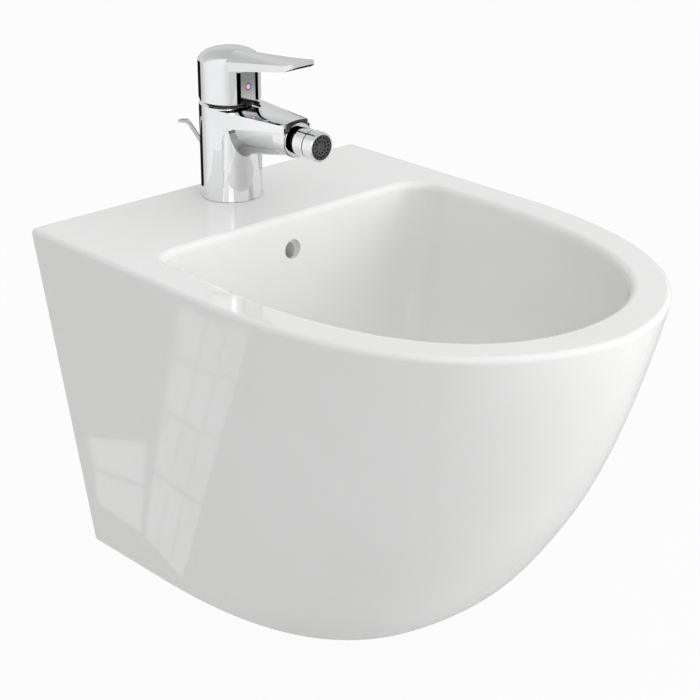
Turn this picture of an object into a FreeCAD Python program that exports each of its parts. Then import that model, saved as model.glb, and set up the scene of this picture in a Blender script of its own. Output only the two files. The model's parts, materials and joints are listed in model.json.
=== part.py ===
import FreeCAD, Part
import math
import os

import Sketcher

# Wall-hung bidet in vitreous china with a single-lever mixer and a pop-up waste.
# Millimetres. Z is up, the wall is the plane y = 0 and the front points along -Y.
# The origin lies on the wall, midway between the two fixing holes.

SIZES = {
    # China shell, measured from the wall and down from the deck
    "deck_width": 360.0,
    "deck_length": 480.0,
    "deck_side": 220.0,
    "deck_side_pull": 245.0,
    "deck_front_pull": 26.0,
    "shell_height": 308.0,
    "foot_width": 268.0,
    "foot_length": 304.0,
    "foot_side": 61.0,
    "foot_side_pull": 61.0,
    "foot_front_pull": 146.0,
    "belly_rise": 1.58,
    "belly_turn": 1.22,
    "china_wall": 10.0,
    "deck_thickness": 18.0,
    "rim_round": 4.0,
    "foot_round": 6.0,
    # Bowl
    "bowl_back": 119.0,
    "side_rim": 34.0,
    "front_rim": 37.0,
    "bowl_depth": 152.0,
    "bowl_corner": 26.0,
    "bowl_side": 101.0,
    "bowl_side_pull": 152.0,
    "bowl_front_pull": 86.0,
    "floor_inset_side": 72.0,
    "floor_inset_back": 34.0,
    "floor_inset_front": 96.0,
    "bowl_power": 2.6,
    "bowl_round": 6.0,
    # Wall fixing
    "fixing_spacing": 180.0,
    "fixing_drop": 75.0,
    "fixing_hole": 22.0,
    "stud_clearance_hole": 12.5,
    "sleeve_flange": 34.0,
    "sleeve_flange_thickness": 3.0,
    "bridge_height": 56.0,
    "bridge_depth": 22.0,
    "access_width": 140.0,
    "access_depth": 240.0,
    # Overflow duct
    "overflow_drop": 30.0,
    "overflow_hole": 17.0,
    "overflow_mouth_depth": 15.0,
    "duct_bore": 13.0,
    "duct_wall": 7.0,
    "duct_bend": 24.0,
    "duct_gap": 19.0,
    # Waste seat in the china
    "waste_reach": 195.0,
    "waste_hole": 46.0,
    "waste_boss": 76.0,
    "waste_boss_drop": 30.0,
    "waste_sink": 3.0,
    # Mixer column and spout
    "tap_reach": 40.0,
    "tap_hole": 35.0,
    "column_radius": 26.5,
    "column_height": 82.0,
    "seal_proud": 0.3,
    "seal_thickness": 2.0,
    "seal_inner": 19.0,
    "seal_outer": 24.0,
    "panel_angle": 112.0,
    "panel_foot_depth": 1.0,
    "panel_head_depth": 5.5,
    "arch_height": 64.3,
    "arch_round": 10.0,
    "spout_reach": 87.0,
    "spout_flank": 8.0,
    "spout_shoulder": 81.0,
    "spout_tip_low": 75.8,
    "spout_end_round": 7.4,
    "spout_root_crown": 0.8,
    "spout_tip_crown": 3.0,
    "hull_sink": 4.5,
    "hull_root_half": 15.5,
    "hull_tip_half": 14.0,
    "hull_root_reach": 34.5,
    "hull_flare": 45.0,
    "hull_root_low": 43.5,
    "hull_tip_low": 53.5,
    "hull_setback": 1.0,
    "nozzle_height": 67.0,
    "nozzle_collar": 15.0,
    "waterway_radius": 6.0,
    # Inlets, stud and underside clamp
    "inlet_spread": 7.5,
    "inlet_front": 7.0,
    "inlet_thread": 9.1,
    "inlet_thread_depth": 14.0,
    "inlet_bore": 6.0,
    "stud_back": 4.0,
    "stud_diameter": 8.0,
    "stud_depth": 14.0,
    "stud_drop": 42.0,
    "clamp_disc_radius": 24.0,
    "clamp_gap_half": 14.0,
    "clamp_gap_back": -1.6,
    "gasket_thickness": 2.5,
    "washer_thickness": 2.5,
    "stud_nut_width": 13.0,
    "stud_nut_height": 6.5,
    # Cartridge
    "cartridge_floor": 52.0,
    "cartridge_radius": 17.5,
    "cartridge_base_height": 3.0,
    "cartridge_wall": 2.0,
    "housing_window": 4.8,
    "cartridge_roof": 76.0,
    "cartridge_roof_wall": 3.0,
    "port_seal_width": 1.6,
    "port_seal_thickness": 1.0,
    "fixed_disc_radius": 13.0,
    "fixed_disc_height": 3.0,
    "disc_port": 4.8,
    "moving_disc_radius": 11.0,
    "moving_disc_height": 4.0,
    "carrier_radius": 15.2,
    "carrier_neck": 10.0,
    "carrier_top": 81.5,
    "lever_pivot": 70.0,
    "stem_width": 7.0,
    "stem_top": 104.0,
    "stem_shank_drop": 5.25,
    "stem_neck": 1.8,
    "stem_tip_radius": 2.6,
    "stem_tip_height": 61.0,
    "pin_radius": 1.5,
    "pin_inset": 1.0,
    "nut_radius": 22.0,
    "nut_inner": 11.0,
    "nut_notch_reach": 18.0,
    "nut_notch": 1.5,
    "nut_bore_depth": 8.0,
    "nut_height": 6.0,
    "trim_radius": 19.5,
    "trim_inner": 12.0,
    "trim_height": 2.6,
    # Lever handle
    "handle_gap": 3.5,
    "handle_shoulder": 119.4,
    "handle_top": 129.0,
    "handle_side_pull": 22.8,
    "handle_pull_height": 126.7,
    "handle_top_pull": 13.2,
    "handle_bore": 18.5,
    "handle_ceiling": 112.0,
    "handle_boss_half": 8.0,
    "handle_boss_low": 91.5,
    "lever_lift": 18.0,
    "notch_half": 11.5,
    "plate_half": 7.7,
    "plate_groove": 18.6,
    "notch_depth": 1.9,
    "notch_top": 112.9,
    "lever_root": 8.0,
    "lever_reach": 98.5,
    "lever_root_half": 17.8,
    "lever_tip_half": 14.5,
    "lever_root_low": 112.5,
    "lever_tip_low": 128.0,
    "lever_root_side": 8.3,
    "lever_tip_side": 5.0,
    "lever_root_crown": 7.4,
    "lever_tip_crown": 1.6,
    "lever_crown_power": 1.5,
    "lever_tip_round": 12.0,
    "lever_tip_slope": 11.0,
    "lever_tip_edge": 1.6,
    "index_height": 99.6,
    "index_radius": 3.5,
    "index_depth": 1.6,
    "index_proud": 0.3,
    "grub_radius": 2.5,
    "grub_length": 10.0,
    # Swivel nozzle
    "ball_reach": 82.0,
    "ball_radius": 10.4,
    "ball_clearance": 0.3,
    "ball_bore": 5.0,
    "ball_neck": 8.0,
    "ball_nut_radius": 13.0,
    "ball_nut_lip": 14.6,
    "ball_nut_lip_height": 1.5,
    "ball_nut_flare": 0.7,
    "seat_back": 9.0,
    "seat_front": 4.0,
    "oring_section": 1.3,
    "collar_back": 11.0,
    "collar_radius": 11.9,
    "collar_length": 12.5,
    "nozzle_chamfer": 0.7,
    "aerator_radius": 12.3,
    "aerator_length": 11.0,
    "aerator_thread": 11.2,
    "aerator_spigot": 4.5,
    "aerator_lip": 10.6,
    "aerator_lip_length": 1.6,
    "aerator_washer_thickness": 1.2,
    "jet_outer_reach": 8.3,
    "jet_outer": 0.95,
    "jet_inner_reach": 5.2,
    "jet_inner": 0.86,
    # Lift rod and its links
    "rod_back": 13.4,
    "rod_radius": 1.75,
    "rod_turn": 55.0,
    "rod_corner": 15.0,
    "rod_knee": 28.0,
    "rod_tip": 36.0,
    "rod_bend": 6.0,
    "rod_drop": 144.0,
    "rod_travel": 16.0,
    "rod_tab_half": 2.6,
    "rod_tab_length": 9.0,
    "rod_tab_thickness": 1.9,
    "clamp_half": 7.0,
    "clamp_height": 16.0,
    "clamp_drop": 138.0,
    "clamp_wall": 4.0,
    "clamp_lip": 2.0,
    "strap_width": 12.0,
    "strap_thickness": 2.0,
    "strap_front": 5.0,
    "strap_hole": 5.8,
    "strap_pitch": 12.0,
    "clamp_screw_radius": 2.0,
    "clamp_screw_head": 3.0,
    # Pop-up waste, measured from the seat in the china
    "flange_radius": 31.5,
    "flange_thickness": 2.6,
    "flange_gasket_radius": 30.0,
    "flange_gasket_thickness": 2.0,
    "neck_radius": 20.9,
    "neck_bore": 17.5,
    "neck_length": 58.0,
    "plug_seat_radius": 22.0,
    "overflow_slot_width": 9.0,
    "overflow_slot_low": 22.0,
    "overflow_slot_high": 10.0,
    "under_gasket_radius": 35.0,
    "under_gasket_thickness": 6.0,
    "locknut_height": 8.0,
    "locknut_width": 54.0,
    "waste_radius": 24.0,
    "waste_top": 46.0,
    "waste_socket": 16.0,
    "waste_low": 95.0,
    "waste_step": 4.0,
    "waste_stop": 1.0,
    "tail_radius": 16.0,
    "tail_thread": 0.8,
    "tail_wall": 1.2,
    "tail_engaged": 10.0,
    "tail_length": 43.0,
    "plug_radius": 21.3,
    "plug_edge": 1.5,
    "plug_dome": 3.0,
    "plug_side_pull": 19.2,
    "plug_pull_rise": 2.1,
    "plug_top_pull": 10.6,
    "plug_seal_outer": 19.2,
    "plug_seal_inner": 15.0,
    "plug_seal_height": 2.5,
    "plug_stem": 4.0,
    "plug_wing": 1.6,
    "plug_wing_height": 14.0,
    "plug_eye_half": 6.0,
    "plug_eye_height": 18.0,
    # Pivot rod through the side of the waste
    "pivot_drop": 72.0,
    "pivot_arm": 46.0,
    "pivot_rod_radius": 2.5,
    "pivot_ball": 6.0,
    "pivot_rod_tail": 14.0,
    "pivot_rod_tip": 4.0,
    "port_radius": 11.0,
    "port_seat_radius": 8.6,
    "port_bore": 5.6,
    "port_mouth": 2.0,
    "pivot_nut_radius": 13.5,
    "pivot_nut_lip": 4.1,
    "pivot_nut_wall": 3.0,
    "pivot_nut_chamfer": 1.0,
    "pivot_seat_wall": 2.0,
    "pivot_seat_front": 1.0,
    "pivot_throat": 3.7,
    # Running and assembly clearances
    "running_gap": 0.05,
    "fit_gap": 0.1,
    "free_gap": 0.4,
}

QUARTER_TURN = 90
CUT_MARGIN = 5
ROUND_PULL = 0.5523
SLACK = 1
FLARE_STEPS = (0.88, 0.6, 0.3)
SPAN_STEPS = (0, 0.3, 0.65, 1)
ROD_CLIMB = math.radians(60)
STRAP_HOLES = 8
OUTER_JETS = 16
INNER_JETS = 10
NUT_NOTCHES = 4
OVERFLOW_SLOTS = 4

doc = FreeCAD.newDocument("wall_hung_bidet")
sheet = doc.addObject("Spreadsheet::Sheet", "Sizes")
for row, (alias, value) in enumerate(SIZES.items(), 1):
    sheet.set(f"A{row}", alias.replace("_", " "))
    sheet.set(f"B{row}", str(value))
    sheet.setAlias(f"B{row}", alias)
doc.recompute()


class Size:
    """A value taken from the sheet: its number, and the expression that ties it to the sheet."""

    def __init__(self, number, text):
        self.number = number
        self.text = text

    def joined(self, other, sign, number):
        return Size(number, f"({self.text} {sign} {as_size(other).text})")

    def __add__(self, other):
        return self.joined(other, "+", self.number + as_size(other).number)

    def __sub__(self, other):
        return self.joined(other, "-", self.number - as_size(other).number)

    def __mul__(self, other):
        return self.joined(other, "*", self.number * as_size(other).number)

    def __truediv__(self, other):
        return self.joined(other, "/", self.number / as_size(other).number)

    def __pow__(self, other):
        return self.joined(other, "^", self.number ** as_size(other).number)

    def __radd__(self, other):
        return as_size(other) + self

    def __rsub__(self, other):
        return as_size(other) - self

    def __rmul__(self, other):
        return as_size(other) * self

    def __rtruediv__(self, other):
        return as_size(other) / self

    def __neg__(self):
        return Size(-self.number, f"(0 - {self.text})")


def as_size(value):
    if isinstance(value, Size):
        return value
    return Size(float(value), f"({value})")


def cosine(angle):
    return Size(math.cos(math.radians(angle.number)), f"cos({angle.text} * 1 deg)")


def sine(angle):
    return Size(math.sin(math.radians(angle.number)), f"sin({angle.text} * 1 deg)")


def root(value):
    return Size(math.sqrt(value.number), f"sqrt({value.text})")


class Sheet:
    """The sheet's values by name."""

    def __getattr__(self, alias):
        return Size(sheet.get(alias), f"Sizes.{alias}")


s = Sheet()


# Helpers for bodies, sketches and features

def bind(item, target, value):
    item.setExpression(target, as_size(value).text)


def new_body(label, place, turn=None):
    """A body at a place given by three values, turned about X by an angle in degrees."""
    body = doc.addObject("PartDesign::Body", label)
    body.Label = label
    body.AllowCompound = True
    if turn is not None:
        axis = FreeCAD.Vector(math.copysign(1, as_size(turn).number), 0, 0)
        angle = abs(as_size(turn).number)
        body.Placement = FreeCAD.Placement(FreeCAD.Vector(), FreeCAD.Rotation(axis, angle))
    for axis_name, value in zip("xyz", place):
        bind(body, f"Placement.Base.{axis_name}", value)
    return body


def origin_feature(body, role):
    return next(item for item in body.Origin.OriginFeatures if item.Role == role)


def new_sketch(body, role, offset):
    drawn = body.newObject("Sketcher::SketchObject", f"{body.Label}_sketch")
    drawn.AttachmentSupport = [(origin_feature(body, role), "")]
    drawn.MapMode = "FlatFace"
    bind(drawn, "AttachmentOffset.Base.z", offset)
    return drawn


def flat(point):
    return FreeCAD.Vector(as_size(point[0]).number, as_size(point[1]).number, 0)


def hold(drawn, geometry, position, point):
    """Tie a point of the sketch to two values, measured from the sketch's origin."""
    for kind, value in zip(("DistanceX", "DistanceY"), point):
        value = as_size(value)
        constraint = Sketcher.Constraint(kind, -1, 1, geometry, position, value.number)
        number = drawn.addConstraint(constraint)
        bind(drawn, f"Constraints[{number}]", value)


def line(end):
    return "line", end


def curve(first_pull, second_pull, end):
    """A cubic edge drawn by its two pull points."""
    return "curve", first_pull, second_pull, end


def arc(centre, radius, end):
    """A round edge of less than half a circle."""
    return "arc", centre, radius, end


def add_curve(drawn, start, pulls, end):
    spline = Part.BSplineCurve()
    poles = [flat(point) for point in (start, *pulls, end)]
    spline.buildFromPolesMultsKnots(poles, [4, 4], [0, 1], False, 3)
    return drawn.addGeometry(spline)


def add_arc(drawn, start, centre, radius, end):
    """Returns the edge and its first and last positions: an arc always runs anticlockwise."""
    middle = flat(centre)
    spokes = [flat(point) - middle for point in (start, end)]
    clockwise = spokes[0].x * spokes[1].y < spokes[0].y * spokes[1].x
    if clockwise:
        spokes.reverse()
    angles = [math.atan2(spoke.y, spoke.x) for spoke in spokes]
    if angles[1] < angles[0]:
        angles[1] += 2 * math.pi
    circle = Part.Circle(middle, FreeCAD.Vector(0, 0, 1), as_size(radius).number)
    edge = drawn.addGeometry(Part.ArcOfCircle(circle, *angles))
    return (edge, 2, 1) if clockwise else (edge, 1, 2)


def draw(body, role, steps, offset=0, start=None):
    """Outline of edges that each end at a held point. It is closed unless a start is given."""
    drawn = new_sketch(body, role, offset)
    edges = []
    curves = []
    arcs = []
    point = start or steps[-1][-1]
    for kind, *values in steps:
        end = values[-1]
        if kind == "line":
            edges.append((drawn.addGeometry(Part.LineSegment(flat(point), flat(end))), 1, 2))
        elif kind == "curve":
            edges.append((add_curve(drawn, point, values[:2], end), 1, 2))
            curves.append((edges[-1][0], values[:2]))
        else:
            edges.append(add_arc(drawn, point, values[0], values[1], end))
            arcs.append((edges[-1][0], values[1]))
        point = end
    links = list(zip(edges, edges[1:]))
    if start is None:
        links.append((edges[-1], edges[0]))
    else:
        hold(drawn, edges[0][0], edges[0][1], start)
    for before, after in links:
        drawn.addConstraint(Sketcher.Constraint("Coincident", before[0], before[2], after[0], after[1]))
    for edge, step in zip(edges, steps):
        hold(drawn, edge[0], edge[2], step[-1])
    for edge, radius in arcs:
        number = drawn.addConstraint(Sketcher.Constraint("Radius", edge, as_size(radius).number))
        bind(drawn, f"Constraints[{number}]", radius)
    for edge, pulls in curves:
        first_pole = drawn.GeometryCount
        drawn.exposeInternalGeometry(edge)
        for step, pull in enumerate(pulls, 1):
            hold(drawn, first_pole + step, 3, pull)
    return drawn


def polygon(body, role, points, offset=0):
    return draw(body, role, [line(point) for point in points], offset)


def rectangle(body, role, low, high, offset=0):
    return polygon(body, role, [low, (high[0], low[1]), high, (low[0], high[1])], offset)


def circles(body, role, rounds, offset=0):
    """Circles given as centre and radius."""
    drawn = new_sketch(body, role, offset)
    for centre, radius in rounds:
        circle = Part.Circle(flat(centre), FreeCAD.Vector(0, 0, 1), as_size(radius).number)
        edge = drawn.addGeometry(circle)
        hold(drawn, edge, 3, centre)
        number = drawn.addConstraint(Sketcher.Constraint("Radius", edge, as_size(radius).number))
        bind(drawn, f"Constraints[{number}]", radius)
    return drawn


def extrude(body, kind, drawn, length, backwards=False, symmetric=False):
    feature = body.newObject(f"PartDesign::{kind}", f"{body.Label}_{kind}")
    feature.Profile = drawn
    bind(feature, "Length", length)
    feature.Reversed = backwards
    if symmetric:
        feature.SideType = "Symmetric"
    return feature


def pad(body, drawn, length, **options):
    return extrude(body, "Pad", drawn, length, **options)


def pocket(body, drawn, length, **options):
    """Cuts against the sketch's normal unless backwards, and must take material away."""
    doc.recompute()
    before = body.Shape.Volume
    feature = extrude(body, "Pocket", drawn, length, **options)
    doc.recompute()
    if body.Shape.Volume > before - 0.01:
        raise RuntimeError(f"{feature.Label} cuts nothing")
    return feature


def revolve(body, drawn, kind="Revolution"):
    feature = body.newObject(f"PartDesign::{kind}", f"{body.Label}_{kind}")
    feature.Profile = drawn
    feature.ReferenceAxis = (drawn, ["V_Axis"])
    feature.Angle = 360
    return feature


def loft(body, sections, kind="AdditiveLoft"):
    feature = body.newObject(f"PartDesign::{kind}", f"{body.Label}_{kind}")
    feature.Profile = sections[0]
    feature.Sections = sections[1:]
    return feature


def pipe(body, profile, path, kind="AdditivePipe"):
    feature = body.newObject(f"PartDesign::{kind}", f"{body.Label}_{kind}")
    feature.Profile = profile
    feature.Spine = path
    return feature


def polar(body, feature, count):
    pattern = body.newObject("PartDesign::PolarPattern", f"{body.Label}_pattern")
    pattern.Originals = [feature]
    pattern.Axis = (origin_feature(body, "Z_Axis"), [""])
    pattern.Angle = 360
    pattern.Occurrences = count
    body.Tip = pattern
    return pattern


def round_edges(body, radius, wanted):
    """Fillet the edges whose middle point passes the test."""
    doc.recompute()
    shape = body.Tip.Shape
    names = []
    for number, edge in enumerate(shape.Edges, 1):
        middle = edge.valueAt((edge.FirstParameter + edge.LastParameter) / 2)
        if wanted(edge, middle):
            names.append(f"Edge{number}")
    feature = body.newObject("PartDesign::Fillet", f"{body.Label}_round")
    feature.Base = (body.BaseFeature or feature.BaseFeature, names)
    bind(feature, "Radius", radius)
    return feature


def near(value, target, margin=0.05):
    return abs(value - as_size(target).number) < margin


def turned(label, place, profile, turn=None):
    """A turned piece: a profile of radius and height, revolved about the body's own Z axis."""
    body = new_body(label, place, turn)
    steps = [step if isinstance(step[0], str) else line(step) for step in profile]
    revolve(body, draw(body, "XZ_Plane", steps))
    return body


def tube(label, place, inner, outer, low, high, turn=None):
    return turned(label, place, [(inner, low), (outer, low), (outer, high), (inner, high)], turn)


def hexagon(body, width, offset):
    """Six-sided outline of a width across flats."""
    reach = width / math.sqrt(3)
    corners = []
    for step in range(6):
        angle = math.radians(60 * step)
        corners.append((reach * round(math.cos(angle), 6), reach * round(math.sin(angle), 6)))
    return polygon(body, "XY_Plane", corners, offset)


# Places of the three groups: china, tap and waste

ORIGIN = (0, 0, 0)
CHINA = (0, 0, s.fixing_drop)
TAP = (0, -s.tap_reach, s.fixing_drop)
WASTE_SEAT = s.bowl_depth + s.waste_sink
WASTE = (0, -s.waste_reach, s.fixing_drop - WASTE_SEAT)
NOZZLE = (0, -s.tap_reach, s.fixing_drop + s.nozzle_height)


# China shell and bowl

BOWL_WIDTH = s.deck_width - s.side_rim * 2
BOWL_LENGTH = s.deck_length - s.bowl_back - s.front_rim


def shell_outline(body, level, inset, back):
    """Plan of the shell at a level from 0 at the deck to 1 at the foot."""
    rise = (1 - as_size(level) ** s.belly_rise) ** (1 / s.belly_turn)
    half = s.deck_width / 2 + (s.foot_width - s.deck_width) / 2 * level - inset
    long = s.foot_length + (s.deck_length - s.foot_length) * rise - inset

    def blend(deck_value, foot_value, deck_whole, foot_whole):
        return deck_value / deck_whole * (1 - as_size(level)) + foot_value / foot_whole * level

    run = long * blend(s.deck_side, s.foot_side, s.deck_length, s.foot_length)
    pull = long * blend(s.deck_side_pull, s.foot_side_pull, s.deck_length, s.foot_length)
    front = half * 2 * blend(s.deck_front_pull, s.foot_front_pull, s.deck_width, s.foot_width)
    steps = [
        line((half, back)),
        line((half, -run)),
        curve((half, -(run + pull)), (front, -long), (0, -long)),
        curve((-front, -long), (-half, -(run + pull)), (-half, -run)),
        line((-half, back)),
    ]
    return draw(body, "XY_Plane", steps, -(s.shell_height * level))


def bowl_outline(body, level, grow, height):
    """Plan of the bowl at a level from 0 at the rim to 1 at the floor."""
    inset = 1 - (1 - as_size(level) ** s.bowl_power) ** (1 / s.bowl_power)
    half = BOWL_WIDTH / 2 - s.floor_inset_side * inset + grow
    back = s.bowl_back + s.floor_inset_back * inset - grow
    front = s.bowl_back + BOWL_LENGTH - s.floor_inset_front * inset + grow
    share = (front - back) / BOWL_LENGTH
    run = back + s.bowl_side * share
    pull = run + s.bowl_side_pull * share
    tip = s.bowl_front_pull * half / BOWL_WIDTH * 2
    corner = s.bowl_corner
    bend = corner * (1 - ROUND_PULL)
    steps = [
        line((half - corner, -back)),
        curve((half - bend, -back), (half, -(back + bend)), (half, -(back + corner))),
        line((half, -run)),
        curve((half, -pull), (tip, -front), (0, -front)),
        curve((-tip, -front), (-half, -pull), (-half, -run)),
        line((-half, -(back + corner))),
        curve((-half, -(back + bend)), (bend - half, -back), (corner - half, -back)),
    ]
    return draw(body, "XY_Plane", steps, height)


def duct_path(body):
    """Overflow route: back through the bowl wall, down behind it and forward to the waste seat."""
    top = -s.overflow_drop
    low = -(WASTE_SEAT + (s.overflow_slot_low + s.overflow_slot_high) / 2)
    back = s.duct_gap - s.bowl_back
    bend = s.duct_bend
    steps = [
        line((back - bend, top)),
        arc((back - bend, top - bend), bend, (back, top - bend)),
        line((back, low + bend)),
        arc((back - bend, low + bend), bend, (back - bend, low)),
        line((s.waste_hole / 4 - s.waste_reach, low)),
    ]
    return draw(body, "YZ_Plane", steps, start=(-s.bowl_back - s.china_wall, top))


def make_ceramic_body():
    body = new_body("ceramic_body", CHINA)
    loft(body, [shell_outline(body, level, 0, 0) for level in (0, 0.2, 0.4, 0.6, 0.8, 0.92, 1)])
    roof = s.deck_thickness / s.shell_height
    floor = 1 - s.china_wall / s.shell_height
    depths = [roof + (floor - roof) * share for share in (0, 0.25, 0.5, 0.75, 0.9, 1)]
    hollow = [shell_outline(body, depth, s.china_wall, CUT_MARGIN) for depth in depths]
    loft(body, hollow, "SubtractiveLoft")

    # Bridge with the two wall fixing holes
    bridge_low = s.fixing_drop + s.bridge_height / 2
    bridge_slope = (s.deck_width - s.foot_width) / 2 / s.shell_height
    bridge_half = s.deck_width / 2 - bridge_slope * bridge_low - s.china_wall / 2
    bridge_top = s.bridge_height / 2 - s.fixing_drop
    bridge = rectangle(body, "XZ_Plane", (-bridge_half, -bridge_low), (bridge_half, bridge_top))
    pad(body, bridge, s.bridge_depth)

    # Overflow duct and bowl, outside first
    duct_start = s.bowl_back + s.china_wall
    duct_wall = [((0, -s.overflow_drop), s.duct_bore / 2 + s.duct_wall)]
    pipe(body, circles(body, "XZ_Plane", duct_wall, duct_start), duct_path(body))
    outside = s.bowl_depth + s.china_wall
    levels = (0.1, 0.35, 0.6, 0.8, 0.92, 1)
    loft(body, [bowl_outline(body, level, s.china_wall, -(outside * level)) for level in levels])
    boss_low = -(WASTE_SEAT + s.waste_boss_drop)
    waste_place = (0, -s.waste_reach)
    pad(body, circles(body, "XY_Plane", [(waste_place, s.waste_boss / 2)], boss_low), s.waste_boss_drop)

    # Inside of the bowl, waste seat, overflow and tap hole
    inside = [bowl_outline(body, 0, 0, CUT_MARGIN)]
    inside += [bowl_outline(body, level, 0, -(s.bowl_depth * level)) for level in (0, *levels[1:])]
    loft(body, inside, "SubtractiveLoft")
    seat = circles(body, "XY_Plane", [(waste_place, s.flange_radius + s.free_gap)], -WASTE_SEAT)
    pocket(body, seat, s.waste_sink + CUT_MARGIN, backwards=True)
    hole = circles(body, "XY_Plane", [(waste_place, s.waste_hole / 2)], -WASTE_SEAT)
    pocket(body, hole, s.waste_boss_drop + CUT_MARGIN)
    duct_bore = [((0, -s.overflow_drop), s.duct_bore / 2)]
    pipe(body, circles(body, "XZ_Plane", duct_bore, duct_start), duct_path(body), "SubtractivePipe")
    mouth = circles(body, "XZ_Plane", [((0, -s.overflow_drop), s.overflow_hole / 2)], duct_start)
    pocket(body, mouth, s.overflow_mouth_depth)
    tap_hole = circles(body, "XY_Plane", [((0, -s.tap_reach), s.tap_hole / 2)])
    pocket(body, tap_hole, s.deck_thickness + CUT_MARGIN)
    studs = [((side * s.fixing_spacing / 2, -s.fixing_drop), s.fixing_hole / 2) for side in (-1, 1)]
    pocket(body, circles(body, "XZ_Plane", studs), s.bridge_depth + CUT_MARGIN, backwards=True)

    # Opening under the back for reaching the fixings and the trap
    access = rectangle(
        body, "XY_Plane", (-s.access_width / 2, -s.access_depth), (s.access_width / 2, CUT_MARGIN),
        -s.shell_height)
    pocket(body, access, s.china_wall + CUT_MARGIN, backwards=True)

    # Rounded rim, bowl edge and foot
    foot = -s.shell_height
    edge_half = BOWL_WIDTH / 2 + s.bowl_round + SLACK
    edge_front = s.bowl_back + BOWL_LENGTH + s.bowl_round + SLACK

    def on_rim(edge, middle):
        box = edge.BoundBox
        outside_bowl = max(-box.XMin, box.XMax) > edge_half.number or -box.YMin > edge_front.number
        return near(middle.z, 0) and middle.y < -SLACK and outside_bowl

    def on_bowl_edge(edge, middle):
        return near(middle.z, 0) and middle.y < -s.bowl_back.number + SLACK and not on_rim(edge, middle)

    def on_foot(edge, middle):
        beside_access = abs(middle.x) > s.access_width.number / 2 + SLACK
        before_access = middle.y < -s.access_depth.number - SLACK
        return near(middle.z, foot) and middle.y < -SLACK and (beside_access or before_access)

    round_edges(body, s.bowl_round, on_bowl_edge)
    round_edges(body, s.rim_round, on_rim)
    round_edges(body, s.foot_round, on_foot)
    return body


def make_fixing_sleeves():
    """A flanged nylon sleeve in each fixing hole of the bridge."""
    bore = s.stud_clearance_hole / 2
    outer = s.fixing_hole / 2 - s.fit_gap
    back = s.seal_proud
    flange = s.sleeve_flange / 2
    front = s.bridge_depth + s.sleeve_flange_thickness
    profile = [
        (bore, back), (outer, back), (outer, s.bridge_depth), (flange, s.bridge_depth), (flange, front),
        (bore, front),
    ]
    return [
        turned("fixing_sleeve_left", (-s.fixing_spacing / 2, 0, 0), profile, QUARTER_TURN),
        turned("fixing_sleeve_right", (s.fixing_spacing / 2, 0, 0), profile, QUARTER_TURN),
    ]


# Mixer column, spout and what holds it to the deck

def slab_section(body, half, low, side, crown, forward):
    """Upright section with a flat underside, straight sides and a crowned top."""
    shoulder = low + side
    peak = shoulder + crown * 4 / 3
    steps = [
        line((half, low)),
        line((half, shoulder)),
        curve((half * ROUND_PULL, peak), (-half * ROUND_PULL, peak), (-half, shoulder)),
        line((-half, low)),
    ]
    return draw(body, "XZ_Plane", steps, forward)


def hull_section(body, half, low, forward):
    """Keel-shaped section that hangs under the spout."""
    top = s.spout_shoulder - s.hull_sink / 2
    edge = s.spout_shoulder - s.hull_sink
    keel = edge - (edge - low) * 4 / 3
    steps = [
        line((half, top)),
        line((half, edge)),
        curve((half, keel), (-half, keel), (-half, edge)),
        line((-half, top)),
    ]
    return draw(body, "XZ_Plane", steps, forward)


def inlet_places():
    return [(side * s.inlet_spread, -s.inlet_front) for side in (-1, 1)]


def rod_height(reach):
    """Height of the lift rod's slanted part at a distance from its upright part."""
    return s.rod_corner + as_size(reach) * math.tan(ROD_CLIMB)


def make_column():
    """Column with an arched panel turned off its front, deeper towards the spout."""
    body = new_body("mixer_column", ORIGIN)
    column = circles(body, "XY_Plane", [((0, 0), s.column_radius)], s.seal_proud)
    pad(body, column, s.column_height - s.seal_proud)
    outside = s.column_radius + CUT_MARGIN
    foot_face = s.column_radius - s.panel_foot_depth
    head_face = s.column_radius - s.panel_head_depth
    panel = polygon(body, "YZ_Plane", [
        (-foot_face, 0), (-outside, 0), (-outside, s.arch_height), (-head_face, s.arch_height)])
    sector = revolve(body, panel, "Groove")
    sector.Midplane = True
    bind(sector, "Angle", s.panel_angle)

    def on_arch(edge, middle):
        return near(middle.z, s.arch_height) and edge.Curve.TypeId == "Part::GeomLine" and middle.y < 0

    round_edges(body, s.arch_round, on_arch)
    return body


def make_keel():
    """Keel that flares out of the column and runs on under the spout."""
    body = new_body("spout_keel", ORIGIN)
    start = s.hull_root_reach
    end = s.spout_reach - s.hull_setback
    sections = []
    for share in FLARE_STEPS:
        low = s.hull_root_low - s.hull_flare * share ** 2
        sections.append(hull_section(body, s.hull_root_half, low, start * (1 - share)))
    for span in SPAN_STEPS:
        forward = start + (end - start) * span
        half = s.hull_root_half + (s.hull_tip_half - s.hull_root_half) * span
        low = s.hull_root_low + (s.hull_tip_low - s.hull_root_low) * span
        sections.append(hull_section(body, half, low, forward))
    loft(body, sections)
    return body


def make_slab():
    """Crowned slab that forms the top and the side bands of the spout, tangent to the column."""
    body = new_body("spout_slab", ORIGIN)
    start = s.column_radius * sine(s.spout_flank)
    root_half = s.column_radius * cosine(s.spout_flank)
    taper = sine(s.spout_flank) / cosine(s.spout_flank)
    tip_half = root_half - (s.spout_reach - start) * taper
    sections = []
    for span in SPAN_STEPS:
        forward = start + (s.spout_reach - start) * span
        half = root_half + (tip_half - root_half) * span
        crown = s.spout_root_crown + (s.spout_tip_crown - s.spout_root_crown) * span
        low = s.arch_height + (s.spout_tip_low - s.arch_height) * span
        sections.append(slab_section(body, half, low, s.spout_shoulder - low, crown, forward))
    loft(body, sections)

    def on_spout_end(edge, middle):
        return near(middle.y, -s.spout_reach) and near(abs(middle.x), tip_half)

    round_edges(body, s.spout_end_round, on_spout_end)
    return body


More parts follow.
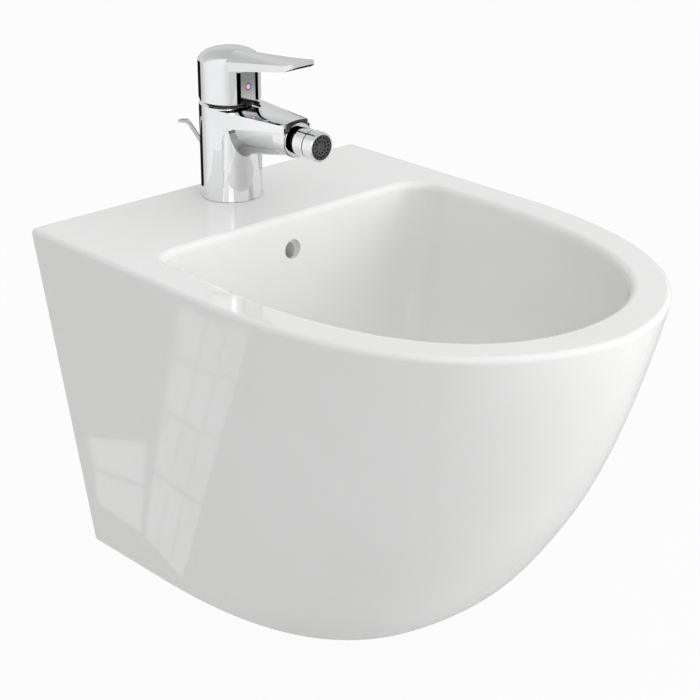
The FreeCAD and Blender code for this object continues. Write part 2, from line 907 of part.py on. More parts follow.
def make_collar():
    """Round collar at the spout's end, which holds the swivelling nozzle."""
    body = new_body("spout_collar", ORIGIN)
    back = s.ball_reach - s.seat_back
    ring = circles(body, "XZ_Plane", [((0, s.nozzle_height), s.nozzle_collar)], back)
    pad(body, ring, s.spout_reach - back)
    return body


def make_mixer_body():
    blank = doc.addObject("Part::MultiFuse", "mixer_blank")
    blank.Shapes = [make_column(), make_keel(), make_slab(), make_collar()]
    blank.Refine = False
    body = new_body("mixer_body", TAP)
    body.BaseFeature = blank

    # Cartridge seat, nut thread and groove for the base seal
    bore = s.cartridge_radius + s.fit_gap
    nut_bore = s.nut_radius + s.running_gap
    nut_floor = s.column_height - s.nut_bore_depth
    above = s.column_height + CUT_MARGIN
    chamber = [
        (0, s.cartridge_floor), (bore, s.cartridge_floor), (bore, nut_floor), (nut_bore, nut_floor),
        (nut_bore, above), (0, above),
    ]
    revolve(body, polygon(body, "XZ_Plane", chamber), "Groove")
    seal_low = (s.seal_inner - s.fit_gap, -CUT_MARGIN)
    seal_high = (s.seal_outer + s.fit_gap, s.seal_thickness)
    revolve(body, rectangle(body, "XZ_Plane", seal_low, seal_high), "Groove")

    # Waterway to the nozzle, inlets, stud hole
    way = [((0, s.nozzle_height), s.waterway_radius)]
    way_start = s.cartridge_radius / 2
    pocket(body, circles(body, "XZ_Plane", way, way_start), s.ball_reach - way_start, backwards=True)
    seat = [((0, s.nozzle_height), s.ball_nut_radius + s.running_gap)]
    pocket(body, circles(body, "XZ_Plane", seat, s.ball_reach - s.seat_back), s.seat_back + CUT_MARGIN * 2,
           backwards=True)
    threads = [(place, s.inlet_thread / 2) for place in inlet_places()]
    pocket(body, circles(body, "XY_Plane", threads), s.inlet_thread_depth, backwards=True)
    bores = [(place, s.inlet_bore / 2) for place in inlet_places()]
    pocket(body, circles(body, "XY_Plane", bores), s.cartridge_floor + CUT_MARGIN, backwards=True)
    stud = [((0, s.stud_back), s.stud_diameter / 2 + s.running_gap)]
    pocket(body, circles(body, "XY_Plane", stud), s.stud_depth, backwards=True)

    # Bore and slanted slot for the lift rod, turned towards the side
    gap = s.rod_radius + s.free_gap
    margin = gap / math.cos(ROD_CLIMB)
    outside = s.column_radius
    low = s.rod_corner - s.rod_bend
    slot = polygon(body, "YZ_Plane", [
        (-gap, low),
        (-gap, rod_height(-gap) + s.rod_travel + margin),
        (outside, rod_height(outside) + s.rod_travel + margin),
        (outside, rod_height(outside) - margin),
        (gap, rod_height(gap) - margin),
        (gap, low),
    ])
    upright = FreeCAD.Rotation(FreeCAD.Vector(0, 1, 0), s.rod_turn.number)
    slot.AttachmentOffset = FreeCAD.Placement(FreeCAD.Vector(), upright)
    bind(slot, "AttachmentOffset.Base.x", s.rod_back)
    bind(slot, "AttachmentOffset.Rotation.Angle", s.rod_turn)
    pocket(body, slot, gap * 2, symmetric=True)
    rod = [((0, s.rod_back), s.rod_radius + s.running_gap)]
    pocket(body, circles(body, "XY_Plane", rod), low + gap, backwards=True)
    return body


def under_deck(depth):
    """Height of a face under the deck, in the tap's own frame."""
    return -(s.deck_thickness + depth)


def horseshoe(label, thickness, above):
    """Disc under the deck, open round the inlets and the lift rod."""
    body = new_body(label, TAP)
    low = under_deck(above + thickness)
    pad(body, circles(body, "XY_Plane", [((0, 0), s.clamp_disc_radius)], low), thickness)
    reach = s.clamp_disc_radius + CUT_MARGIN
    half = s.clamp_gap_half
    mouth = rectangle(body, "XY_Plane", (-half, -reach), (half, s.clamp_gap_back), low)
    pocket(body, mouth, thickness, backwards=True)
    gap = s.rod_radius + s.free_gap
    slot = rectangle(body, "XY_Plane", (-gap, s.rod_back - gap), (gap, reach), low)
    pocket(body, slot, thickness, backwards=True)
    hole = [((0, s.stud_back), s.stud_diameter / 2 + s.fit_gap)]
    pocket(body, circles(body, "XY_Plane", hole, low), thickness, backwards=True)
    return body


def hex_nut(label, place, width, bore, low, height):
    body = new_body(label, place)
    pad(body, hexagon(body, width, low), height)
    pocket(body, circles(body, "XY_Plane", [((0, 0), bore)], low), height, backwards=True)
    return body


def make_tap_fixing():
    stud_place = (0, s.stud_back - s.tap_reach, s.fixing_drop)
    stack = s.gasket_thickness + s.washer_thickness
    seal_gap = s.fit_gap / 2
    return [
        tube("base_seal", TAP, s.seal_inner, s.seal_outer, 0, s.seal_thickness - seal_gap),
        turned("fixing_stud", stud_place, [
            (0, -s.stud_drop), (s.stud_diameter / 2, -s.stud_drop),
            (s.stud_diameter / 2, s.stud_depth - seal_gap), (0, s.stud_depth - seal_gap)]),
        horseshoe("horseshoe_gasket", s.gasket_thickness, 0),
        horseshoe("horseshoe_washer", s.washer_thickness, s.gasket_thickness),
        hex_nut("fixing_nut", stud_place, s.stud_nut_width, s.stud_diameter / 2 + s.running_gap,
                under_deck(stack + s.stud_nut_height), s.stud_nut_height),
    ]


# Ceramic-disc cartridge

DISC_FLOOR = s.cartridge_floor + s.cartridge_base_height
DISC_FACE = DISC_FLOOR + s.fixed_disc_height
DISC_TOP = DISC_FACE + s.running_gap + s.moving_disc_height
CARRIER_LOW = DISC_TOP + s.free_gap
HOUSING_BORE = s.cartridge_radius - s.cartridge_wall
OUTLET = (0, s.fixed_disc_radius / 2)


def make_cartridge_base():
    body = tube("cartridge_base", TAP, 0, s.cartridge_radius, s.cartridge_floor, DISC_FLOOR)
    ports = [(place, s.inlet_bore / 2) for place in inlet_places()]
    pocket(body, circles(body, "XY_Plane", ports, DISC_FLOOR), s.cartridge_base_height)
    recesses = [(place, s.inlet_bore / 2 + s.port_seal_width) for place in inlet_places()]
    rings = circles(body, "XY_Plane", recesses, s.cartridge_floor)
    pocket(body, rings, s.port_seal_thickness, backwards=True)
    return body


def make_cartridge_seals():
    """Flat rings round the two inlets, under the base."""
    inner = s.inlet_bore / 2
    outer = inner + s.port_seal_width - s.fit_gap
    top = s.cartridge_floor + s.port_seal_thickness - s.running_gap
    seals = []
    for side, name in ((-1, "left"), (1, "right")):
        place = (side * s.inlet_spread, -(s.tap_reach + s.inlet_front), s.fixing_drop)
        seals.append(tube(f"cartridge_seal_{name}", place, inner, outer, s.cartridge_floor, top))
    return seals


def make_fixed_disc():
    body = tube("fixed_disc", TAP, 0, s.fixed_disc_radius, DISC_FLOOR, DISC_FACE)
    ports = [(place, s.disc_port / 2) for place in inlet_places()]
    ports.append((OUTLET, s.inlet_bore / 2))
    pocket(body, circles(body, "XY_Plane", ports, DISC_FACE), s.fixed_disc_height)
    return body


def make_moving_disc():
    low = DISC_FACE + s.running_gap
    body = tube("moving_disc", TAP, 0, s.moving_disc_radius, low, DISC_TOP)
    socket = s.stem_tip_radius + s.ball_clearance
    depth = DISC_TOP - s.stem_tip_height + s.stem_tip_radius + s.ball_clearance
    pocket(body, circles(body, "XY_Plane", [((0, 0), socket)], DISC_TOP), depth)
    return body


def make_cartridge_housing():
    """Cup over the discs, with a side window towards the spout."""
    roof_low = s.cartridge_roof - s.cartridge_roof_wall
    neck = s.carrier_neck + s.running_gap
    body = turned("cartridge_housing", TAP, [
        (HOUSING_BORE, DISC_FLOOR), (s.cartridge_radius, DISC_FLOOR), (s.cartridge_radius, s.cartridge_roof),
        (neck, s.cartridge_roof), (neck, roof_low), (HOUSING_BORE, roof_low)])
    window = circles(body, "XZ_Plane", [((0, s.nozzle_height), s.housing_window)])
    pocket(body, window, s.column_radius, backwards=True)
    return body


def make_cartridge_carrier():
    roof_low = s.cartridge_roof - s.cartridge_roof_wall - s.free_gap
    body = turned("cartridge_carrier", TAP, [
        (0, CARRIER_LOW), (s.carrier_radius, CARRIER_LOW), (s.carrier_radius, roof_low),
        (s.carrier_neck, roof_low), (s.carrier_neck, s.carrier_top), (0, s.carrier_top)])
    half = s.stem_width / 2
    above = (s.carrier_top - s.lever_pivot) * sine(s.lever_lift) + half + s.free_gap
    below = (s.lever_pivot - CARRIER_LOW) * sine(s.lever_lift) + half + s.free_gap
    slot = rectangle(body, "XY_Plane", (-half - s.fit_gap, -below), (half + s.fit_gap, above), s.carrier_top)
    pocket(body, slot, s.carrier_top - CARRIER_LOW)
    pin = circles(body, "YZ_Plane", [((0, s.lever_pivot), s.pin_radius + s.running_gap / 2)])
    pocket(body, pin, s.carrier_radius * 2 + CUT_MARGIN, symmetric=True)
    return body


def make_stem_pin():
    """Cross pin, modelled along X."""
    body = new_body("stem_pin", TAP)
    pin = circles(body, "YZ_Plane", [((0, s.lever_pivot), s.pin_radius)])
    pad(body, pin, (s.carrier_radius - s.pin_inset) * 2, symmetric=True)
    return body


def make_cartridge_stem():
    body = new_body("cartridge_stem", TAP)
    half = s.stem_width / 2 - s.fit_gap
    shank_low = s.lever_pivot - s.stem_shank_drop
    square = rectangle(body, "XY_Plane", (-half, -half), (half, half), shank_low)
    pad(body, square, s.stem_top - shank_low)
    tip = s.stem_tip_radius
    centre = s.stem_tip_height
    neck = s.stem_neck
    neck_low = centre + root(tip ** 2 - neck ** 2)
    steps = [
        arc((0, centre), tip, (tip, centre)),
        arc((0, centre), tip, (neck, neck_low)),
        line((neck, shank_low + half)),
        line((0, shank_low + half)),
        line((0, centre - tip)),
    ]
    revolve(body, draw(body, "XZ_Plane", steps))
    hole = circles(body, "YZ_Plane", [((0, s.lever_pivot), s.pin_radius + s.running_gap)])
    pocket(body, hole, s.stem_width * 2, symmetric=True)
    return body


def make_cartridge_nut():
    """Threaded ring over the housing, with notches for a pin spanner."""
    low = s.cartridge_roof
    body = tube("cartridge_nut", TAP, s.nut_inner, s.nut_radius, low, low + s.nut_height)
    notch = circles(body, "XY_Plane", [((s.nut_notch_reach, 0), s.nut_notch)], low + s.nut_height)
    polar(body, pocket(body, notch, s.nut_height / 2), NUT_NOTCHES)
    return body


def make_trim_ring():
    low = s.cartridge_roof + s.nut_height
    top = low + s.trim_height
    inner = s.trim_inner
    edge = s.trim_radius
    soft = s.trim_height / 2
    return turned("trim_ring", TAP, [
        (inner, low), (edge, low), (edge, top - soft),
        arc((edge - soft, top - soft), soft, (edge - soft, top)), (inner, top)])


def make_cartridge():
    return [
        make_cartridge_base(), *make_cartridge_seals(), make_fixed_disc(), make_moving_disc(),
        make_cartridge_housing(), make_cartridge_carrier(), make_stem_pin(), make_cartridge_stem(),
        make_cartridge_nut(), make_trim_ring(),
    ]


# Lever handle

def make_lever_handle():
    body = new_body("lever_handle", TAP)
    rim = s.column_height + s.handle_gap
    radius = s.column_radius
    top = s.handle_top
    steps = [
        line((radius, rim)),
        line((radius, s.handle_shoulder)),
        curve((s.handle_side_pull, s.handle_pull_height), (s.handle_top_pull, top), (0, top)),
        line((0, rim)),
    ]
    revolve(body, draw(body, "XZ_Plane", steps))

    # Lever that grows out of the head and climbs to its tip
    start = s.lever_root
    sections = []
    for span in SPAN_STEPS:
        forward = start + (s.lever_reach - start) * span
        half = s.lever_root_half + (s.lever_tip_half - s.lever_root_half) * span
        low = s.lever_root_low + (s.lever_tip_low - s.lever_root_low) * span
        side = s.lever_root_side + (s.lever_tip_side - s.lever_root_side) * span
        fade = as_size(1 - span) ** s.lever_crown_power
        crown = s.lever_tip_crown + (s.lever_root_crown - s.lever_tip_crown) * fade
        sections.append(slab_section(body, half, low, side, crown, forward))
    loft(body, sections)

    def on_tip(edge, middle):
        return near(middle.y, -s.lever_reach) and near(abs(middle.x), s.lever_tip_half)

    round_edges(body, s.lever_tip_round, on_tip)

    # Underside of the tip, sloping up to a thin edge
    tip_edge = s.lever_tip_low + s.lever_tip_side - s.lever_tip_edge
    slope_start = -(s.lever_reach - s.lever_tip_slope)
    lever_climb = (s.lever_tip_low - s.lever_root_low) / (s.lever_reach - start)
    slope_low = s.lever_tip_low - lever_climb * s.lever_tip_slope
    slope_climb = (tip_edge - slope_low) / s.lever_tip_slope
    tip_end = -(s.lever_reach + CUT_MARGIN)
    slope = polygon(body, "YZ_Plane", [
        (slope_start, slope_low), (tip_end, slope_low), (tip_end, tip_edge + slope_climb * CUT_MARGIN)])
    pocket(body, slope, s.lever_root_half * 2, symmetric=True)

    # Hollow with the boss that grips the stem
    hollow = circles(body, "XY_Plane", [((0, 0), s.handle_bore)], rim)
    pocket(body, hollow, s.handle_ceiling - rim, backwards=True)
    boss = s.handle_boss_half
    block = rectangle(body, "XY_Plane", (-boss, -boss), (boss, boss), s.handle_boss_low)
    pad(body, block, s.handle_ceiling - s.handle_boss_low + SLACK)
    half = s.stem_width / 2
    socket = rectangle(body, "XY_Plane", (-half, -half), (half, half), s.handle_boss_low)
    pocket(body, socket, s.stem_top - s.handle_boss_low + s.fit_gap, backwards=True)

    # Index plate under the lever between two deep grooves, its recess and the grub screw hole
    panel = radius - s.notch_depth
    below = rim - CUT_MARGIN
    notch = rectangle(body, "XZ_Plane", (-s.notch_half, below), (s.notch_half, s.notch_top), panel)
    pocket(body, notch, s.notch_depth + CUT_MARGIN, backwards=True)
    for side in (-1, 1):
        inner = (side * s.plate_half, below)
        groove = rectangle(body, "XZ_Plane", inner, (side * s.notch_half, s.notch_top), s.plate_groove)
        pocket(body, groove, radius - s.plate_groove, backwards=True)
    index = [((0, s.index_height), s.index_radius + s.fit_gap)]
    pocket(body, circles(body, "XZ_Plane", index, panel), s.index_depth)
    grub = [((0, s.index_height), s.grub_radius + s.running_gap)]
    pocket(body, circles(body, "XZ_Plane", grub, panel), panel - half + s.fit_gap)

    # Slanted relief at the back, so that the lifted handle clears the column
    over = s.lever_pivot + (rim - s.lever_pivot) * cosine(s.lever_lift) - s.column_height - s.free_gap
    hinge = over / sine(s.lever_lift)
    back = radius + CUT_MARGIN
    climb = (back - hinge) * sine(s.lever_lift) / cosine(s.lever_lift)
    relief = polygon(body, "YZ_Plane", [
        (hinge, rim), (hinge, rim - CUT_MARGIN), (back, rim - CUT_MARGIN), (back, rim + climb)])
    pocket(body, relief, back * 2, symmetric=True)
    return body


def make_handle_trim():
    index_place = (0, -s.tap_reach, s.fixing_drop + s.index_height)
    panel = s.column_radius - s.notch_depth
    floor = panel - s.index_depth
    face = panel + s.index_proud
    soft = s.index_proud
    index = turned("index_plug", index_place, [
        (0, floor), (s.index_radius, floor), (s.index_radius, face - soft), (s.index_radius - soft, face),
        (0, face)], QUARTER_TURN)
    stem_face = s.stem_width / 2
    grub_end = stem_face + s.grub_length
    socket = s.grub_radius / 2
    grub = turned("lever_grub_screw", index_place, [
        (0, stem_face), (s.grub_radius, stem_face), (s.grub_radius, grub_end), (socket, grub_end),
        (socket, grub_end - s.grub_radius), (0, grub_end - s.grub_radius)], QUARTER_TURN)
    return [index, grub]


# Swivel nozzle: turned pieces along the nozzle axis, measured forward from the column

def make_nozzle():
    ball = s.ball_reach
    room = s.ball_radius + s.ball_clearance
    seat_low = ball - s.seat_back
    seat_top = ball - s.seat_front
    outer = s.ball_nut_radius - s.fit_gap / 2
    bore = s.waterway_radius
    bore_low = ball - root(room ** 2 - bore ** 2)
    mouth = root(room ** 2 - s.seat_front ** 2)
    seat = turned("ball_seat", NOZZLE, [
        (bore, seat_low), (outer - s.fit_gap, seat_low), (outer - s.fit_gap, seat_top), (mouth, seat_top),
        arc((0, ball), room, (bore, bore_low))], QUARTER_TURN)

    ring = s.oring_section
    ring_low = seat_top + s.running_gap
    oring = new_body("ball_oring", NOZZLE, QUARTER_TURN)
    revolve(oring, circles(oring, "XZ_Plane", [((outer - s.fit_gap - ring, ring_low + ring), ring)]))

    nut_low = ring_low + ring * 2 + s.running_gap
    end = s.spout_reach
    lip_top = end + s.ball_nut_lip_height
    nut = turned("ball_nut", NOZZLE, [
        (room, nut_low), (outer, nut_low), (outer, end), (s.ball_nut_lip, end), (s.ball_nut_lip, lip_top),
        (room + s.ball_nut_flare, lip_top), (mouth, ball + s.seat_front),
        arc((0, ball), room, (room, ball))], QUARTER_TURN)

    radius = s.ball_radius
    soft = s.nozzle_chamfer
    collar_low = ball + s.collar_back
    collar_top = collar_low + s.collar_length
    spigot_top = collar_top + s.aerator_spigot
    neck_low = ball + root(radius ** 2 - s.ball_neck ** 2)
    ball_low = ball - root(radius ** 2 - s.ball_bore ** 2)
    swivel = turned("swivel_ball", NOZZLE, [
        (s.ball_bore, spigot_top), (s.ball_bore, ball_low), arc((0, ball), radius, (radius, ball)),
        arc((0, ball), radius, (s.ball_neck, neck_low)), (s.ball_neck, collar_low),
        (s.collar_radius - soft, collar_low), (s.collar_radius, collar_low + soft),
        (s.collar_radius, collar_top - soft), (s.collar_radius - soft, collar_top),
        (s.aerator_thread, collar_top), (s.aerator_thread, spigot_top)], QUARTER_TURN)

    thread = s.aerator_thread + s.running_gap
    shell = s.aerator_radius
    face = collar_top + s.aerator_length
    lip_low = face - s.aerator_lip_length
    housing = turned("aerator_housing", NOZZLE, [
        (thread, collar_top), (shell - soft, collar_top), (shell, collar_top + soft), (shell, face - soft),
        (shell - soft, face), (s.aerator_lip, face), (s.aerator_lip, lip_low), (thread, lip_low)],
        QUARTER_TURN)

    washer_top = spigot_top + s.aerator_washer_thickness
    washer = tube(
        "aerator_washer", NOZZLE, s.ball_bore, s.aerator_thread, spigot_top, washer_top, QUARTER_TURN)
    return [seat, oring, nut, swivel, housing, washer, make_aerator_insert(washer_top, lip_low)]


def make_aerator_insert(low, high):
    """Perforated jet insert behind the lip of the housing."""
    top = high + s.aerator_lip_length / 3
    face = s.aerator_lip - s.fit_gap * 2
    body = turned("aerator_insert", NOZZLE, [
        (0, low), (s.aerator_thread, low), (s.aerator_thread, high), (face, high), (face, top), (0, top)],
        QUARTER_TURN)
    rings = ((s.jet_outer_reach, s.jet_outer, OUTER_JETS), (s.jet_inner_reach, s.jet_inner, INNER_JETS))
    for reach, radius, count in rings:
        jet = circles(body, "XY_Plane", [((reach, 0), radius)], top)
        polar(body, pocket(body, jet, top - low), count)
    return body


# Lift rod, clamp and strap

ROD_REACH = s.tap_reach - s.rod_back
OUTER_ARM = s.waste_reach - s.pivot_arm - ROD_REACH - s.strap_front
PIVOT_TILT = s.rod_travel / OUTER_ARM / 2 * math.degrees(1)
PLUG_TRAVEL = s.rod_travel * s.pivot_arm / OUTER_ARM
PIVOT_HEIGHT = WASTE_SEAT + s.pivot_drop
ROD = (0, -ROD_REACH, s.fixing_drop)


def make_lift_rod():
    """Round rod, bent twice where it leaves the column, with a flat finger tab."""
    body = new_body("lift_rod", ROD)
    body.Placement = FreeCAD.Placement(
        body.Placement.Base, FreeCAD.Rotation(FreeCAD.Vector(0, 0, 1), s.rod_turn.number))
    bind(body, "Placement.Rotation.Angle", s.rod_turn)
    foot = -s.rod_drop
    profile = circles(body, "XY_Plane", [((0, 0), s.rod_radius)], foot)
    bend = s.rod_bend
    knee = s.rod_knee
    level = rod_height(knee)
    along = math.cos(ROD_CLIMB)
    up = math.sin(ROD_CLIMB)
    first = bend * math.tan((math.pi / 2 - ROD_CLIMB) / 2)
    second = bend * math.tan(ROD_CLIMB / 2)
    steps = [
        line((0, s.rod_corner - first)),
        arc((bend, s.rod_corner - first), bend, (first * along, s.rod_corner + first * up)),
        line((knee - second * along, level - second * up)),
        arc((knee + second, level - bend), bend, (knee + second, level)),
        line((s.rod_tip - s.rod_tab_half, level)),
    ]
    pipe(body, profile, draw(body, "YZ_Plane", steps, start=(0, foot)))
    half = s.rod_tab_half
    end = s.rod_tip - half
    tab_start = s.rod_tip - s.rod_tab_length
    thick = s.rod_tab_thickness
    tab = draw(body, "XY_Plane", [
        line((half, end)),
        arc((0, end), half, (0, s.rod_tip)),
        arc((0, end), half, (-half, end)),
        line((-half, tab_start)),
        line((half, tab_start)),
    ], level - thick / 2)
    pad(body, tab, thick)
    return body


def make_rod_clamp():
    """Block that ties the strap to the rod."""
    body = new_body("rod_clamp", ROD)
    half = s.clamp_half
    low = -s.clamp_drop
    front = -(s.strap_front + s.strap_thickness + s.clamp_lip)
    back = s.rod_radius + s.clamp_wall
    pad(body, rectangle(body, "XY_Plane", (-half, front), (half, back), low), s.clamp_height)
    hole = circles(body, "XY_Plane", [((0, 0), s.rod_radius + s.running_gap)], low)
    pocket(body, hole, s.clamp_height, backwards=True)
    strap_half = s.strap_width / 2 + s.fit_gap
    strap_back = -(s.strap_front - s.strap_thickness / 2 - s.fit_gap)
    strap_face = -(s.strap_front + s.strap_thickness / 2 + s.fit_gap)
    slot = rectangle(body, "XY_Plane", (-strap_half, strap_face), (strap_half, strap_back), low)
    pocket(body, slot, s.clamp_height, backwards=True)
    middle = s.clamp_height / 2 - s.clamp_drop
    screw = circles(body, "XZ_Plane", [((0, middle), s.clamp_screw_radius + s.running_gap)])
    pocket(body, screw, back + CUT_MARGIN)
    return body


def make_link_parts():
    middle = s.fixing_drop + s.clamp_height / 2 - s.clamp_drop
    head = s.rod_radius + s.clamp_wall
    head_top = head + s.clamp_screw_head
    point = s.rod_radius + s.running_gap
    radius = s.clamp_screw_radius
    screw = turned("clamp_screw", (0, -ROD_REACH, middle), [
        (0, point), (radius, point), (radius, head), (radius * 2, head), (radius * 2, head_top),
        (0, head_top)], -QUARTER_TURN)

    strap = new_body("link_strap", (0, -(ROD_REACH + s.strap_front), s.fixing_drop))
    top = s.clamp_height + s.clamp_wall - s.clamp_drop
    eye = -(PIVOT_HEIGHT + s.rod_travel / 2)
    low = eye - s.strap_width
    half = s.strap_width / 2
    thick = s.strap_thickness
    face = rectangle(strap, "XZ_Plane", (-half, low), (half, top), -(thick / 2))
    pad(strap, face, thick)
    hole = circles(strap, "XZ_Plane", [((0, eye), s.strap_hole / 2)], -(thick / 2))
    first = pocket(strap, hole, thick, backwards=True)
    row = strap.newObject("PartDesign::LinearPattern", "strap_holes")
    row.Originals = [first]
    row.Direction = (origin_feature(strap, "Z_Axis"), [""])
    row.Mode = "Spacing"
    bind(row, "Offset", s.strap_pitch)
    row.Occurrences = STRAP_HOLES
    strap.Tip = row
    return [screw, strap]


# Pop-up waste

def make_waste_flange():
    """Flange with the plug seat, and the threaded neck with its overflow slots."""
    low = s.flange_gasket_thickness
    top = low + s.flange_thickness
    soft = s.flange_thickness / 2
    body = turned("waste_flange", WASTE, [
        (s.neck_bore, -s.neck_length), (s.neck_radius, -s.neck_length), (s.neck_radius, low),
        (s.flange_radius, low), (s.flange_radius, low + soft),
        arc((s.flange_radius - soft, low + soft), soft, (s.flange_radius - soft, top)),
        (s.plug_seat_radius, top), (s.neck_bore, 0)])
    half = s.overflow_slot_width / 2
    slot = rectangle(
        body, "XZ_Plane", (-half, -s.overflow_slot_low), (half, -s.overflow_slot_high), s.neck_bore / 2)
    polar(body, pocket(body, slot, s.neck_radius, backwards=True), OVERFLOW_SLOTS)
    return body


def make_waste_body():
    """Lower body with the neck socket, the side port for the pivot rod and the pipe socket."""
    socket_low = -(s.waste_top + s.waste_socket)
    pipe_top = s.tail_engaged - s.waste_low
    bore = s.neck_bore
    outer = s.waste_radius
    step = s.waste_step
    spigot = s.tail_radius - s.tail_thread
    pipe_bore = spigot + s.running_gap
    stop = spigot - s.tail_wall
    stop_top = pipe_top + s.waste_stop
    body = turned("waste_body", WASTE, [
        (pipe_bore, -s.waste_low), (outer - step, -s.waste_low), (outer - step, pipe_top),
        (outer, pipe_top + step),
        (outer, -s.waste_top), (s.neck_radius + s.running_gap, -s.waste_top),
        (s.neck_radius + s.running_gap, socket_low), (bore, socket_low), (bore, stop_top),
        (stop, stop_top), (stop, pipe_top), (pipe_bore, pipe_top)])
    centre = (0, -s.pivot_drop)
    end = s.pivot_arm + s.port_mouth
    pad(body, circles(body, "XZ_Plane", [(centre, s.port_radius)], -end), end - s.neck_bore - SLACK)
    seat_depth = s.pivot_ball + s.port_mouth + s.pivot_seat_wall
    seat = circles(body, "XZ_Plane", [(centre, s.port_seat_radius + s.running_gap)], -end)
    pocket(body, seat, seat_depth, backwards=True)
    bore_way = circles(body, "XZ_Plane", [(centre, s.port_bore)], -end)
    pocket(body, bore_way, end - s.neck_bore / 2, backwards=True)
    return body


def make_pivot_parts():
    """Ball-ended rod through the port, with its seat and cap nut."""
    pivot = (0, s.pivot_arm - s.waste_reach, s.fixing_drop - PIVOT_HEIGHT)
    room = s.pivot_ball + s.ball_clearance
    seat_low = -(s.pivot_ball + s.pivot_seat_wall)
    seat_front = s.pivot_seat_front
    throat = s.pivot_throat
    seat = turned("pivot_seat", pivot, [
        (throat, seat_low), (s.port_seat_radius, seat_low), (s.port_seat_radius, -seat_front),
        (root(room ** 2 - seat_front ** 2), -seat_front),
        arc((0, 0), room, (throat, -root(room ** 2 - throat ** 2)))], -QUARTER_TURN)

    mouth = s.port_mouth + s.free_gap
    lip = s.pivot_nut_lip
    thread = s.port_radius + s.running_gap
    outer = s.pivot_nut_radius
    cap = s.pivot_ball + s.pivot_nut_wall
    soft = s.pivot_nut_chamfer
    nut = turned("pivot_nut", pivot, [
        (thread, -s.pivot_ball), (outer, -s.pivot_ball), (outer, cap - soft), (outer - soft, cap),
        (lip + soft, cap),
        (lip, root(room ** 2 - lip ** 2)), arc((0, 0), room, (root(room ** 2 - mouth ** 2), mouth)),
        (thread, mouth)], -QUARTER_TURN)

    ball = s.pivot_ball
    rod = s.pivot_rod_radius
    joint = root(ball ** 2 - rod ** 2)
    tip = -(s.pivot_arm + s.pivot_rod_tip)
    tail = OUTER_ARM + s.pivot_rod_tail
    body = turned("pivot_rod", pivot, [
        (0, tip), (rod, tip), (rod, -joint), arc((0, 0), ball, (ball, 0)), arc((0, 0), ball, (rod, joint)),
        (rod, tail), (0, tail)], -(QUARTER_TURN + PIVOT_TILT))
    bind(body, "Placement.Rotation.Angle", QUARTER_TURN + PIVOT_TILT)
    return [seat, nut, body]


def make_waste_plug():
    """Domed plug with guide wings and an eye for the pivot rod, at rest in its raised place."""
    base = s.flange_gasket_thickness + s.flange_thickness + s.ball_clearance
    plug_place = (0, -s.waste_reach, s.fixing_drop - WASTE_SEAT + PLUG_TRAVEL)
    edge = base + s.plug_edge
    dome = edge + s.plug_dome
    rod_closed = -(s.pivot_drop + PLUG_TRAVEL / 2)
    eye_low = rod_closed - s.plug_eye_height / 2
    eye_top = rod_closed + s.plug_eye_height / 2
    body = turned("waste_plug", plug_place, [
        (s.plug_stem, base), (s.plug_radius, base), (s.plug_radius, edge),
        curve((s.plug_side_pull, edge + s.plug_pull_rise), (s.plug_top_pull, dome), (0, dome)),
        (0, eye_top - SLACK), (s.plug_stem, eye_top - SLACK)])
    reach = s.neck_bore - s.free_gap
    wing_top = base - s.plug_seal_height - s.fit_gap
    wing = s.plug_wing / 2
    for low, high in (((-reach, -wing), (reach, wing)), ((-wing, -reach), (wing, reach))):
        fin = rectangle(body, "XY_Plane", low, high, wing_top - s.plug_wing_height)
        pad(body, fin, s.plug_wing_height)
    hub = circles(body, "XY_Plane", [((0, 0), s.plug_seal_inner - s.fit_gap)], wing_top)
    pad(body, hub, base - wing_top)
    half = s.plug_eye_half
    eye = rectangle(body, "XY_Plane", (-half, -half), (half, half), eye_low)
    pad(body, eye, s.plug_eye_height)
    gap = s.pivot_rod_radius + s.free_gap * 2
    window = rectangle(body, "XZ_Plane", (-gap, rod_closed - gap), (gap, rod_closed + gap))
    pocket(body, window, half * 2 + CUT_MARGIN, symmetric=True)
    seal_low = base - s.plug_seal_height
    seal = tube("plug_seal", plug_place, s.plug_seal_inner, s.plug_seal_outer, seal_low, base)
    return [body, seal]


def make_tail_pipe():
    """Outlet pipe, with a turned-down end in the socket of the waste body."""
    top = s.tail_engaged - s.waste_low
    low = top - s.tail_length
    spigot = s.tail_radius - s.tail_thread
    inner = spigot - s.tail_wall
    return turned("tail_pipe", WASTE, [
        (inner, low), (s.tail_radius, low), (s.tail_radius, -s.waste_low), (spigot, -s.waste_low),
        (spigot, top), (inner, top)])


def make_waste():
    boss_low = -s.waste_boss_drop
    gasket_low = boss_low - s.under_gasket_thickness
    inner = s.neck_radius + s.fit_gap
    return [
        make_waste_flange(),
        tube("flange_gasket", WASTE, inner, s.flange_gasket_radius, 0, s.flange_gasket_thickness),
        tube("under_gasket", WASTE, inner, s.under_gasket_radius, gasket_low, boss_low),
        hex_nut("waste_locknut", WASTE, s.locknut_width, s.neck_radius + s.running_gap,
                gasket_low - s.locknut_height, s.locknut_height),
        make_waste_body(),
        make_tail_pipe(),
        *make_waste_plug(),
        *make_pivot_parts(),
    ]


PIECES = [
    make_ceramic_body(),
    *make_fixing_sleeves(),
    make_mixer_body(),
    *make_tap_fixing(),
    *make_cartridge(),
    make_lever_handle(),
    *make_handle_trim(),
    *make_nozzle(),
    make_lift_rod(),
    make_rod_clamp(),
    *make_link_parts(),
    *make_waste(),
]


# Check every object, then write one file for each piece

doc.recompute()
failed = [item.Name for item in doc.Objects if {"Invalid", "Error"} & set(item.State)]
failed += [piece.Label for piece in PIECES if piece.Shape.isNull() or not piece.Shape.isValid()]
if failed:
    raise RuntimeError(f"failed: {failed}")
os.makedirs("parts", exist_ok=True)
for piece in PIECES:
    piece.Shape.exportStep(f"parts/{piece.Label}.step")
    print(piece.Label, len(piece.Shape.Solids), round(piece.Shape.Volume / 1000, 2), "cm3")
